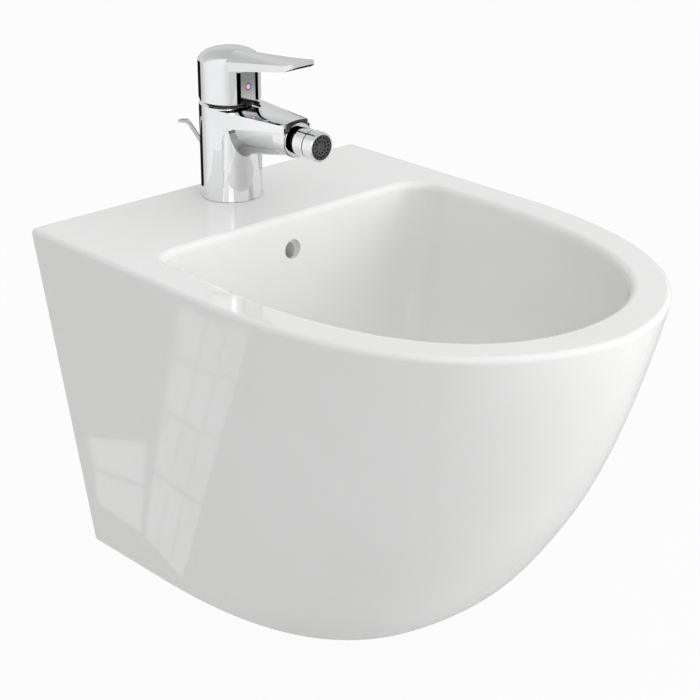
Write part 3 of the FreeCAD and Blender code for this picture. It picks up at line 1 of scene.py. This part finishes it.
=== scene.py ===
import json

import bpy
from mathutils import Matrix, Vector


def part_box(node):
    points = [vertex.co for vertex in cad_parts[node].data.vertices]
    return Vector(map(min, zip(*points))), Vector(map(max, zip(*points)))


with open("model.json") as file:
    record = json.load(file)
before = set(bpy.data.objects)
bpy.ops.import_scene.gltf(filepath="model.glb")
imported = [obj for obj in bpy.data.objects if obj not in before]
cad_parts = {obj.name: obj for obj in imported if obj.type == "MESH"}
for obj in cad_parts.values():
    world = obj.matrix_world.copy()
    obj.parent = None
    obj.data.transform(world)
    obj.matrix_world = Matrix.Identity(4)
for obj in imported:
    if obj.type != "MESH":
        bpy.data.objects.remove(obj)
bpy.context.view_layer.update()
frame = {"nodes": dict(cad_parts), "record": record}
scene = bpy.context.scene
nodes = frame["nodes"]

# Camera of the photograph: a square picture with no shift, places in metres, lens in millimetres
CAMERA_PLACE = Vector((-0.9716, -1.2467, 0.5826))
CAMERA_TARGET = Vector((-0.16009, -0.36438, 0.075))
CAMERA_LENS = 96.44
CAMERA_SENSOR = 36.0
CAMERA_NEAR = 0.05
CAMERA_FAR = 50.0

# Floor: gap below the hanging object, tones, grain per metre, and how white it is as a background
FLOOR_GAP = 0.092
FLOOR_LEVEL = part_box("ceramic_body")[0].z - FLOOR_GAP
FLOOR_HALF = 6.0
FLOOR_TONES = (0.6, 0.62)
FLOOR_GRAIN = 3.0
FLOOR_ROUGHNESS = 0.9
FLOOR_WHITE = 0.94

# Room as light, in stops of position and grey: from below to above, and from the far side to the lamps
LAMP_SIDE = (0.42, -0.91, 0.0)
ROOM_LEVEL = 1.48
ROOM_HEIGHTS = ((0.0, 0.65), (0.5, 0.76), (0.75, 0.84), (1.0, 0.95))
ROOM_SIDES = ((0.0, 0.45), (1.0, 1.0))

# Room as gloss shows it: from the far side to the windows, and how much of a pale tone lies on each height
WINDOW_SIDE = (-1.0, 0.09, 0.0)
GLOSS_SIDES = ((0.0, 0.44), (0.75, 0.56), (0.9, 0.92), (0.97, 1.0))
GLOSS_HEIGHTS = ((0.14, 0.3), (0.2, 0.42), (0.34, 0.42), (0.5, 0.15))
GLOSS_PALE = 0.92

# Softboxes: place and size in metres, power in watts, all turned to one point of the object
LAMP_TARGET = Vector((0.0, -0.25, -0.05))
SOFTBOXES = {
    "key": {"place": Vector((1.08, -2.11, 0.36)), "size": (1.2, 1.2), "power": 14.0},
    "strip": {"place": Vector((-0.6, -2.2, 1.0)), "size": (0.25, 1.2), "power": 0.8},
}

# Windows in gloss: two on the floor for the left side of the china, one behind the camera for the deck
PANE_LEVEL = FLOOR_LEVEL + 0.002
PANE_GLOW = 1.55
FRONT_PANE_GLOW = 2.6
WINDOWS = {
    "window_right": {
        "corners": (
            (-0.213, 0.07, PANE_LEVEL), (-0.205, -0.017, PANE_LEVEL),
            (-0.526, 0.105, PANE_LEVEL), (-0.502, 0.369, PANE_LEVEL)),
        "columns": 3, "rows": 4, "bar": 0.03, "strength": PANE_GLOW,
    },
    "window_left": {
        "corners": (
            (-0.22, 0.158, PANE_LEVEL), (-0.215, 0.075, PANE_LEVEL),
            (-0.315, 0.19, PANE_LEVEL), (-0.285, 0.262, PANE_LEVEL)),
        "columns": 1, "rows": 2, "bar": 0.04, "strength": PANE_GLOW,
    },
    "window_front": {
        "corners": (
            (-1.718, -1.365, 0.4), (-1.242, -1.875, 0.4),
            (-1.242, -1.875, 1.9), (-1.718, -1.365, 1.9)),
        "columns": 3, "rows": 4, "bar": 0.12, "strength": FRONT_PANE_GLOW,
    },
}

# Black cards in gloss, by their low and high corners
CARD_GLOW = 0.01
CARDS = {
    "card_back": (Vector((-0.1, 0.35, -0.3)), Vector((0.5, 0.35, 0.13))),
    "card_front": (Vector((0.85, -1.65, 0.28)), Vector((1.45, -1.2, 0.75))),
}

# Places on the tap in the frame, which its painted shade is measured from
PLUG_LOW, PLUG_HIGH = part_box("index_plug")
HANDLE_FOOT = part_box("lever_handle")[0].z
SPOUT_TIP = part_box("mixer_body")[0].y
BALL_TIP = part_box("swivel_ball")[0].y

# Boxes of painted shade in the chrome, by two corners whose X is the distance from the middle plane; the
# collar box is left out of the ball's painted shade. FAR leaves a side open
FAR = 1.0
PLATE_FOOT = HANDLE_FOOT - 0.01
PLATE_TOP = PLUG_HIGH.z + 0.0101
PLATE_SHADE_BOX = ((-FAR, PLUG_LOW.y - 0.0051, PLATE_FOOT), (0.0077, PLUG_LOW.y + 0.0029, PLATE_TOP))
GROOVE_SHADE_BOX = ((0.0076, PLUG_LOW.y + 0.0005, PLATE_FOOT), (0.0116, PLUG_LOW.y + 0.0069, PLATE_TOP))
COLLAR_BOX = ((-FAR, BALL_TIP + 0.0052, -FAR), (FAR, BALL_TIP + 0.017, FAR))

# Fades of painted shade in the chrome: index plate by height, spout by distance from its tip and by the
# way it faces
PLATE_SHADE_HEIGHTS = (HANDLE_FOOT - 0.0005, HANDLE_FOOT + 0.0195)
PLATE_SHADE_LEVELS = (0.05, 0.6)
SPOUT_SHADE_REACH = (SPOUT_TIP + 0.012, SPOUT_TIP + 0.057)
SPOUT_SHADE_LEVELS = (0.23, 0.7)
FACING_DOWN = (0.05, -0.45)
SPOUT_END_SHADE_REACH = (SPOUT_TIP + 0.027, SPOUT_TIP + 0.012)
SPOUT_END_SHADE_LEVELS = (0.0, 0.93)
FACING_FRONT = (-0.7, -0.93)

# Index plug: stops of its coloured ring in shares of the radius, and the seam between its halves
INDEX_RING = ((0.56, 0.0), (0.64, 1.0), (0.93, 1.0), (0.99, 0.0))
INDEX_SEAM = 0.08
INDEX_RED = (0.55, 0.03, 0.06)
INDEX_BLUE = (0.03, 0.09, 0.42)

# Colours and stretches of noise over which one tone turns into another
WHITE = (1.0, 1.0, 1.0)
# Black of the painted shade in the chrome
PAINTED_SHADE_BLACK = (0.012, 0.012, 0.013)
WIDE_SPAN = (0.3, 0.7)
NARROW_SPAN = (0.35, 0.65)

# Plain finishes: grains that a change of tone or gloss covers, depth of the relief in metres, refraction
TONE_GRAINS = 6
GLOSS_GRAINS = 3
RELIEF_DEPTH = 0.0004
PLAIN_IOR = 1.5

# Each plain finish: two tones, range of roughness, grain per metre and strength of the relief
PLAIN_FINISHES = {
    "brass": {
        "dark": (0.55, 0.4, 0.17), "light": (0.72, 0.56, 0.27),
        "rough": (0.22, 0.4), "grain": 400, "relief": 0.15, "metallic": 1.0,
    },
    "steel": {
        "dark": (0.5, 0.5, 0.51), "light": (0.66, 0.67, 0.68),
        "rough": (0.25, 0.45), "grain": 600, "relief": 0.15, "metallic": 1.0,
    },
    "seal_rubber": {
        "dark": (0.018, 0.018, 0.02), "light": (0.05, 0.05, 0.054),
        "rough": (0.55, 0.8), "grain": 900, "relief": 0.3,
    },
    "white_nylon": {
        "dark": (0.74, 0.74, 0.7), "light": (0.84, 0.84, 0.8),
        "rough": (0.35, 0.5), "grain": 500, "relief": 0.15,
    },
    "cartridge_plastic": {
        "dark": (0.075, 0.08, 0.09), "light": (0.13, 0.135, 0.15),
        "rough": (0.35, 0.55), "grain": 500, "relief": 0.2,
    },
    "aerator_plastic": {
        "dark": (0.03, 0.03, 0.032), "light": (0.07, 0.07, 0.075),
        "rough": (0.35, 0.6), "grain": 800, "relief": 0.25,
    },
    "disc_ceramic": {
        "dark": (0.78, 0.76, 0.7), "light": (0.88, 0.86, 0.81),
        "rough": (0.15, 0.3), "grain": 300, "relief": 0.05,
    },
}


def facing(place, target):
    """Turn of a camera or lamp that stands at a place and looks at a target."""
    return (target - place).to_track_quat("-Z", "Y").to_euler()


def make_camera():
    data = bpy.data.cameras.new("camera")
    data.sensor_fit = "HORIZONTAL"
    data.sensor_width = CAMERA_SENSOR
    data.lens = CAMERA_LENS
    data.clip_start = CAMERA_NEAR
    data.clip_end = CAMERA_FAR
    camera = bpy.data.objects.new("camera", data)
    camera.location = CAMERA_PLACE
    camera.rotation_euler = facing(CAMERA_PLACE, CAMERA_TARGET)
    scene.collection.objects.link(camera)
    scene.camera = camera


# Node helpers

def new_material(name):
    material = bpy.data.materials.new(name)
    material.use_nodes = True
    tree = material.node_tree
    shader = tree.nodes["Principled BSDF"]
    return material, tree, shader


def add(tree, kind, **values):
    node = tree.nodes.new(kind)
    for key, value in values.items():
        setattr(node, key, value)
    return node


def own_place(tree):
    """Place on the object in its own metres."""
    return add(tree, "ShaderNodeTexCoord").outputs["Object"]


def split(tree, vector):
    """X, Y and Z of a vector, by name."""
    node = add(tree, "ShaderNodeSeparateXYZ")
    tree.links.new(vector, node.inputs["Vector"])
    return node.outputs


def combine(tree, operation, first, second):
    node = add(tree, "ShaderNodeMath", operation=operation)
    tree.links.new(first, node.inputs[0])
    tree.links.new(second, node.inputs[1])
    return node.outputs["Value"]


def noise(tree, scale, detail=3.0):
    """Noise in the object's own metres, so that its grain keeps its real size."""
    node = add(tree, "ShaderNodeTexNoise")
    node.inputs["Scale"].default_value = scale
    node.inputs["Detail"].default_value = detail
    tree.links.new(own_place(tree), node.inputs["Vector"])
    return node.outputs["Fac"]


def ramp(tree, value, stops):
    node = add(tree, "ShaderNodeValToRGB")
    elements = node.color_ramp.elements
    ready = len(elements)
    for index, (position, colour) in enumerate(stops):
        element = elements[index] if index < ready else elements.new(position)
        element.position = position
        element.color = (*colour, 1)
    tree.links.new(value, node.inputs["Fac"])
    return node.outputs["Color"]


def grey(value):
    return value, value, value


def grey_ramp(tree, value, stops):
    return ramp(tree, value, [(position, grey(level)) for position, level in stops])


def two_tone(tree, value, dark, light, span=WIDE_SPAN):
    start, end = span
    return ramp(tree, value, [(start, dark), (end, light)])


def blend(tree, factor, first, second):
    """First colour turning into the second, which is a socket or a plain colour."""
    node = add(tree, "ShaderNodeMix", data_type="RGBA")
    tree.links.new(factor, node.inputs["Factor"])
    tree.links.new(first, node.inputs["A"])
    if isinstance(second, tuple):
        node.inputs["B"].default_value = (*second, 1)
    else:
        tree.links.new(second, node.inputs["B"])
    return node.outputs["Result"]


def spread(tree, value, levels=(0.0, 1.0), between=(0.0, 1.0)):
    """A value mapped from two bounds to two levels, and held there."""
    start, end = between
    low, high = levels
    node = add(tree, "ShaderNodeMapRange")
    node.inputs["From Min"].default_value = start
    node.inputs["From Max"].default_value = end
    node.inputs["To Min"].default_value = low
    node.inputs["To Max"].default_value = high
    tree.links.new(value, node.inputs["Value"])
    return node.outputs["Result"]


def bump(tree, shader, value, strength, distance):
    node = add(tree, "ShaderNodeBump")
    node.inputs["Strength"].default_value = strength
    node.inputs["Distance"].default_value = distance
    tree.links.new(value, node.inputs["Height"])
    tree.links.new(node.outputs["Normal"], shader.inputs["Normal"])


def inside(tree, low, high):
    """1 where the distance from the middle plane, Y and Z all lie between two corners."""
    parts = split(tree, own_place(tree))
    side = add(tree, "ShaderNodeMath", operation="ABSOLUTE")
    tree.links.new(parts["X"], side.inputs[0])
    values = (side.outputs["Value"], parts["Y"], parts["Z"])
    mask = None
    for value, first, last in zip(values, low, high):
        for operation, limit in (("GREATER_THAN", first), ("LESS_THAN", last)):
            test = add(tree, "ShaderNodeMath", operation=operation)
            tree.links.new(value, test.inputs[0])
            test.inputs[1].default_value = limit
            passed = test.outputs["Value"]
            mask = combine(tree, "MULTIPLY", mask, passed) if mask else passed
    return mask


# Finishes

def surface(name, dark, light, rough, grain, relief, metallic=0.0):
    """A material with uneven colour, uneven gloss and a fine relief."""
    material, tree, shader = new_material(name)
    tone = two_tone(tree, noise(tree, scale=grain / TONE_GRAINS), dark, light)
    tree.links.new(tone, shader.inputs["Base Color"])
    gloss = noise(tree, scale=grain / GLOSS_GRAINS, detail=4.0)
    tree.links.new(spread(tree, gloss, rough), shader.inputs["Roughness"])
    bump(tree, shader, noise(tree, scale=grain, detail=5.0), relief, RELIEF_DEPTH)
    shader.inputs["Metallic"].default_value = metallic
    shader.inputs["IOR"].default_value = PLAIN_IOR
    return material


def china():
    """White glaze: faint cloudiness, a slow ripple and a very fine orange peel."""
    dark = (0.83, 0.83, 0.822)
    light = (0.85, 0.85, 0.846)
    rough = (0.035, 0.075)
    peel_share = 0.08
    glaze_ior = 1.52
    material, tree, shader = new_material("vitreous_china")
    clouds = two_tone(tree, noise(tree, scale=9.0, detail=4.0), dark, light, NARROW_SPAN)
    tree.links.new(clouds, shader.inputs["Base Color"])
    tree.links.new(spread(tree, noise(tree, scale=30.0), rough), shader.inputs["Roughness"])
    peel = noise(tree, scale=240.0, detail=2.0)
    ripple = noise(tree, scale=22.0, detail=1.0)
    relief = add(tree, "ShaderNodeMath", operation="MULTIPLY_ADD")
    tree.links.new(peel, relief.inputs[0])
    relief.inputs[1].default_value = peel_share
    tree.links.new(ripple, relief.inputs[2])
    bump(tree, shader, relief.outputs["Value"], strength=0.05, distance=0.0016)
    shader.inputs["IOR"].default_value = glaze_ior
    return material


def handle_shade(tree):
    """Painted shade: black in the grooves, and on the index plate darkening upwards under the lever."""
    height = split(tree, own_place(tree))["Z"]
    fade = spread(tree, height, PLATE_SHADE_LEVELS, PLATE_SHADE_HEIGHTS)
    plate = combine(tree, "MULTIPLY", inside(tree, *PLATE_SHADE_BOX), fade)
    return combine(tree, "MAXIMUM", inside(tree, *GROOVE_SHADE_BOX), plate)


def spout_shade(tree):
    """Painted shade on the spout: its underside darker towards the column, and the end round the nozzle.
    """
    normal = split(tree, add(tree, "ShaderNodeNewGeometry").outputs["Normal"])
    reach = split(tree, own_place(tree))["Y"]
    down = spread(tree, normal["Z"], between=FACING_DOWN)
    near = spread(tree, reach, SPOUT_SHADE_LEVELS, SPOUT_SHADE_REACH)
    under = combine(tree, "MULTIPLY", down, near)
    front = spread(tree, normal["Y"], SPOUT_END_SHADE_LEVELS, FACING_FRONT)
    far = spread(tree, reach, between=SPOUT_END_SHADE_REACH)
    end = combine(tree, "MULTIPLY", front, far)
    return combine(tree, "MAXIMUM", under, end)


def ball_shade(tree):
    """Painted shade over all of the ball but its collar."""
    rest = add(tree, "ShaderNodeMath", operation="SUBTRACT")
    rest.inputs[0].default_value = 1
    tree.links.new(inside(tree, *COLLAR_BOX), rest.inputs[1])
    return rest.outputs["Value"]


def chrome(name, tint=0.96, shade=None):
    """Polished plate: faint wipe marks in the gloss, a slight waviness, and painted shade where a mask is
    given.
    """
    dark = [tint * share for share in (0.965, 0.97, 0.98)]
    light = [tint * share for share in (1.0, 1.003, 1.012)]
    rough = (0.03, 0.085)
    material, tree, shader = new_material(name)
    colour = two_tone(tree, noise(tree, scale=26.0), dark, light, NARROW_SPAN)
    if shade:
        # Painted shade: the colour turns to black where the mask is high
        colour = blend(tree, shade(tree), colour, PAINTED_SHADE_BLACK)
    tree.links.new(colour, shader.inputs["Base Color"])
    wipes = noise(tree, scale=55.0, detail=5.0)
    tree.links.new(spread(tree, wipes, rough), shader.inputs["Roughness"])
    bump(tree, shader, noise(tree, scale=35.0, detail=1.0), strength=0.02, distance=0.0008)
    shader.inputs["Metallic"].default_value = 1.0
    return material


def index_plastic():
    """Glossy plug: red and blue half rings round a grey centre."""
    dark = (0.6, 0.6, 0.62)
    light = (0.68, 0.68, 0.7)
    rough = (0.12, 0.25)
    material, tree, shader = new_material("index_plastic")
    radius = (PLUG_HIGH.x - PLUG_LOW.x) / 2
    seam = radius * INDEX_SEAM
    offset = add(tree, "ShaderNodeVectorMath", operation="SUBTRACT")
    tree.links.new(own_place(tree), offset.inputs[0])
    offset.inputs[1].default_value = (PLUG_LOW + PLUG_HIGH) / 2
    parts = split(tree, offset.outputs["Vector"])
    flat = add(tree, "ShaderNodeCombineXYZ")
    for axis in ("X", "Z"):
        tree.links.new(parts[axis], flat.inputs[axis])
    reach = add(tree, "ShaderNodeVectorMath", operation="LENGTH")
    tree.links.new(flat.outputs["Vector"], reach.inputs[0])
    share = spread(tree, reach.outputs["Value"], between=(0.0, radius))
    ring = grey_ramp(tree, share, INDEX_RING)
    side = spread(tree, parts["X"], between=(-seam, seam))
    halves = two_tone(tree, side, INDEX_RED, INDEX_BLUE)
    centre = two_tone(tree, noise(tree, scale=900.0), dark, light)
    tree.links.new(blend(tree, ring, centre, halves), shader.inputs["Base Color"])
    tree.links.new(spread(tree, noise(tree, scale=700.0), rough), shader.inputs["Roughness"])
    return material


def dress():
    """One material for each slot of the record, and a chrome of its own for the pieces with painted shade:
    masked dark places, or a darker tint all over.
    """
    finishes = {name: surface(name, **values) for name, values in PLAIN_FINISHES.items()}
    finishes["vitreous_china"] = china()
    finishes["chrome"] = chrome("chrome")
    finishes["index_plastic"] = index_plastic()
    shaded = {
        "lever_handle": chrome("chrome_handle_painted_shade", tint=0.9, shade=handle_shade),
        "mixer_body": chrome("chrome_body_painted_shade", shade=spout_shade),
        "swivel_ball": chrome("chrome_ball_painted_shade", shade=ball_shade),
        # Painted shade: darker chrome on the lift rod for its darker reflections, and nearly black chrome
        # on the trim ring and cartridge nut for the shaded gap under the handle
        "lift_rod": chrome("chrome_rod_painted_shade", tint=0.6),
        "trim_ring": chrome("chrome_gap_painted_shade", tint=0.1),
        "cartridge_nut": chrome("chrome_nut_painted_shade", tint=0.2),
    }
    for entry in frame["record"]["subparts"]:
        name = entry["node"]
        materials = nodes[name].data.materials
        materials.clear()
        materials.append(shaded.get(name, finishes[entry["material_slot"]]))


# Stage and light

def seen_directly(tree):
    """1 for the rays that show the background: camera, mirrors and glass."""
    path = add(tree, "ShaderNodeLightPath").outputs
    mirrored = combine(tree, "MAXIMUM", path["Is Camera Ray"], path["Is Glossy Ray"])
    return combine(tree, "MAXIMUM", mirrored, path["Is Transmission Ray"])


def towards(tree, direction, side):
    """Share from 0 to 1 of a level direction that points to a side of the room."""
    level = add(tree, "ShaderNodeVectorMath", operation="MULTIPLY")
    level.inputs[1].default_value = (1, 1, 0)
    tree.links.new(direction, level.inputs[0])
    unit = add(tree, "ShaderNodeVectorMath", operation="NORMALIZE")
    tree.links.new(level.outputs["Vector"], unit.inputs[0])
    along = add(tree, "ShaderNodeVectorMath", operation="DOT_PRODUCT")
    along.inputs[1].default_value = side
    tree.links.new(unit.outputs["Vector"], along.inputs[0])
    return spread(tree, along.outputs["Value"], between=(-1.0, 1.0))


def backdrop(tree, direction):
    """White to the camera. In gloss it falls off from the window side to the far side."""
    fall = grey_ramp(tree, towards(tree, direction, WINDOW_SIDE), GLOSS_SIDES)
    pale = grey_ramp(tree, split(tree, direction)["Z"], GLOSS_HEIGHTS)
    room = blend(tree, pale, fall, grey(GLOSS_PALE))
    path = add(tree, "ShaderNodeLightPath").outputs
    return blend(tree, path["Is Camera Ray"], room, WHITE)


def make_plane(name, corners, faces):
    mesh = bpy.data.meshes.new(name)
    mesh.from_pydata(corners, [], faces)
    plane = bpy.data.objects.new(name, mesh)
    scene.collection.objects.link(plane)
    return plane


def make_floor():
    """Pale floor: nearly white as a background, and keeping the shadow of the object."""
    square = ((-1, -1), (1, -1), (1, 1), (-1, 1))
    corners = [(x * FLOOR_HALF, y * FLOOR_HALF, FLOOR_LEVEL) for x, y in square]
    floor = make_plane("floor", corners, [(0, 1, 2, 3)])
    material, tree, shader = new_material("floor")
    dark, light = (grey(tone) for tone in FLOOR_TONES)
    tone = two_tone(tree, noise(tree, scale=FLOOR_GRAIN), dark, light)
    tree.links.new(tone, shader.inputs["Base Color"])
    shader.inputs["Roughness"].default_value = FLOOR_ROUGHNESS
    weight = spread(tree, seen_directly(tree), levels=(0.0, FLOOR_WHITE))
    white = add(tree, "ShaderNodeEmission")
    tree.links.new(backdrop(tree, own_place(tree)), white.inputs["Color"])
    mix = add(tree, "ShaderNodeMixShader")
    tree.links.new(weight, mix.inputs["Fac"])
    tree.links.new(shader.outputs["BSDF"], mix.inputs[1])
    tree.links.new(white.outputs["Emission"], mix.inputs[2])
    tree.links.new(mix.outputs["Shader"], tree.nodes["Material Output"].inputs["Surface"])
    floor.data.materials.append(material)


def make_world():
    """White as a background; as light a soft room, brighter above and towards the lamps."""
    world = bpy.data.worlds.new("studio")
    scene.world = world
    world.use_nodes = True
    tree = world.node_tree
    background = tree.nodes["Background"]
    direction = add(tree, "ShaderNodeTexCoord").outputs["Generated"]
    height = spread(tree, split(tree, direction)["Z"], between=(-1.0, 1.0))
    heights = grey_ramp(tree, height, ROOM_HEIGHTS)
    sides = grey_ramp(tree, towards(tree, direction, LAMP_SIDE), ROOM_SIDES)
    shaped = add(tree, "ShaderNodeVectorMath", operation="MULTIPLY")
    tree.links.new(heights, shaped.inputs[0])
    tree.links.new(sides, shaped.inputs[1])
    light = add(tree, "ShaderNodeVectorMath", operation="SCALE")
    tree.links.new(shaped.outputs["Vector"], light.inputs[0])
    light.inputs["Scale"].default_value = ROOM_LEVEL
    colour = blend(tree, seen_directly(tree), light.outputs["Vector"], backdrop(tree, direction))
    tree.links.new(colour, background.inputs["Color"])
    background.inputs["Strength"].default_value = 1.0


def glow_in_gloss(panel, strength):
    """Seen in gloss alone: the panel neither shows, lights nor shades."""
    material, tree, _ = new_material(panel.name)
    emission = add(tree, "ShaderNodeEmission")
    emission.inputs["Strength"].default_value = strength
    tree.links.new(emission.outputs["Emission"], tree.nodes["Material Output"].inputs["Surface"])
    panel.data.materials.append(material)
    panel.visible_camera = False
    panel.visible_diffuse = False
    panel.visible_transmission = False
    panel.visible_shadow = False


def window(name, corners, columns, rows, bar, strength):
    """Panes between four corners, each set in by a share of its size for the bars."""
    near_left, near_right, far_right, far_left = (Vector(corner) for corner in corners)
    points = []
    faces = []
    for column in range(columns):
        for row in range(rows):
            left, right = (column + bar) / columns, (column + 1 - bar) / columns
            front, back = (row + bar) / rows, (row + 1 - bar) / rows
            first = len(points)
            for across, along in ((left, front), (right, front), (right, back), (left, back)):
                near = near_left.lerp(near_right, across)
                far = far_left.lerp(far_right, across)
                points.append(near.lerp(far, along))
            faces.append(tuple(range(first, len(points))))
    glow_in_gloss(make_plane(name, points, faces), strength)


def dark_card(name, low, high):
    """Upright card that gives the chrome its dark edges."""
    corners = [low, (high.x, high.y, low.z), high, (low.x, low.y, high.z)]
    glow_in_gloss(make_plane(name, corners, [(0, 1, 2, 3)]), CARD_GLOW)


def softbox(name, place, size, power):
    """Lamp that lights the object and isn't seen, not in gloss either."""
    data = bpy.data.lights.new(name, "AREA")
    data.shape = "RECTANGLE"
    data.size, data.size_y = size
    data.energy = power
    light = bpy.data.objects.new(name, data)
    light.location = place
    light.rotation_euler = facing(place, LAMP_TARGET)
    light.visible_camera = False
    light.visible_glossy = False
    scene.collection.objects.link(light)


make_camera()
dress()
make_floor()
make_world()
for lamp_name, lamp_values in SOFTBOXES.items():
    softbox(lamp_name, **lamp_values)
for window_name, window_values in WINDOWS.items():
    window(window_name, **window_values)
for card_name, card_corners in CARDS.items():
    dark_card(card_name, *card_corners)

scene.view_settings.view_transform = "Standard"
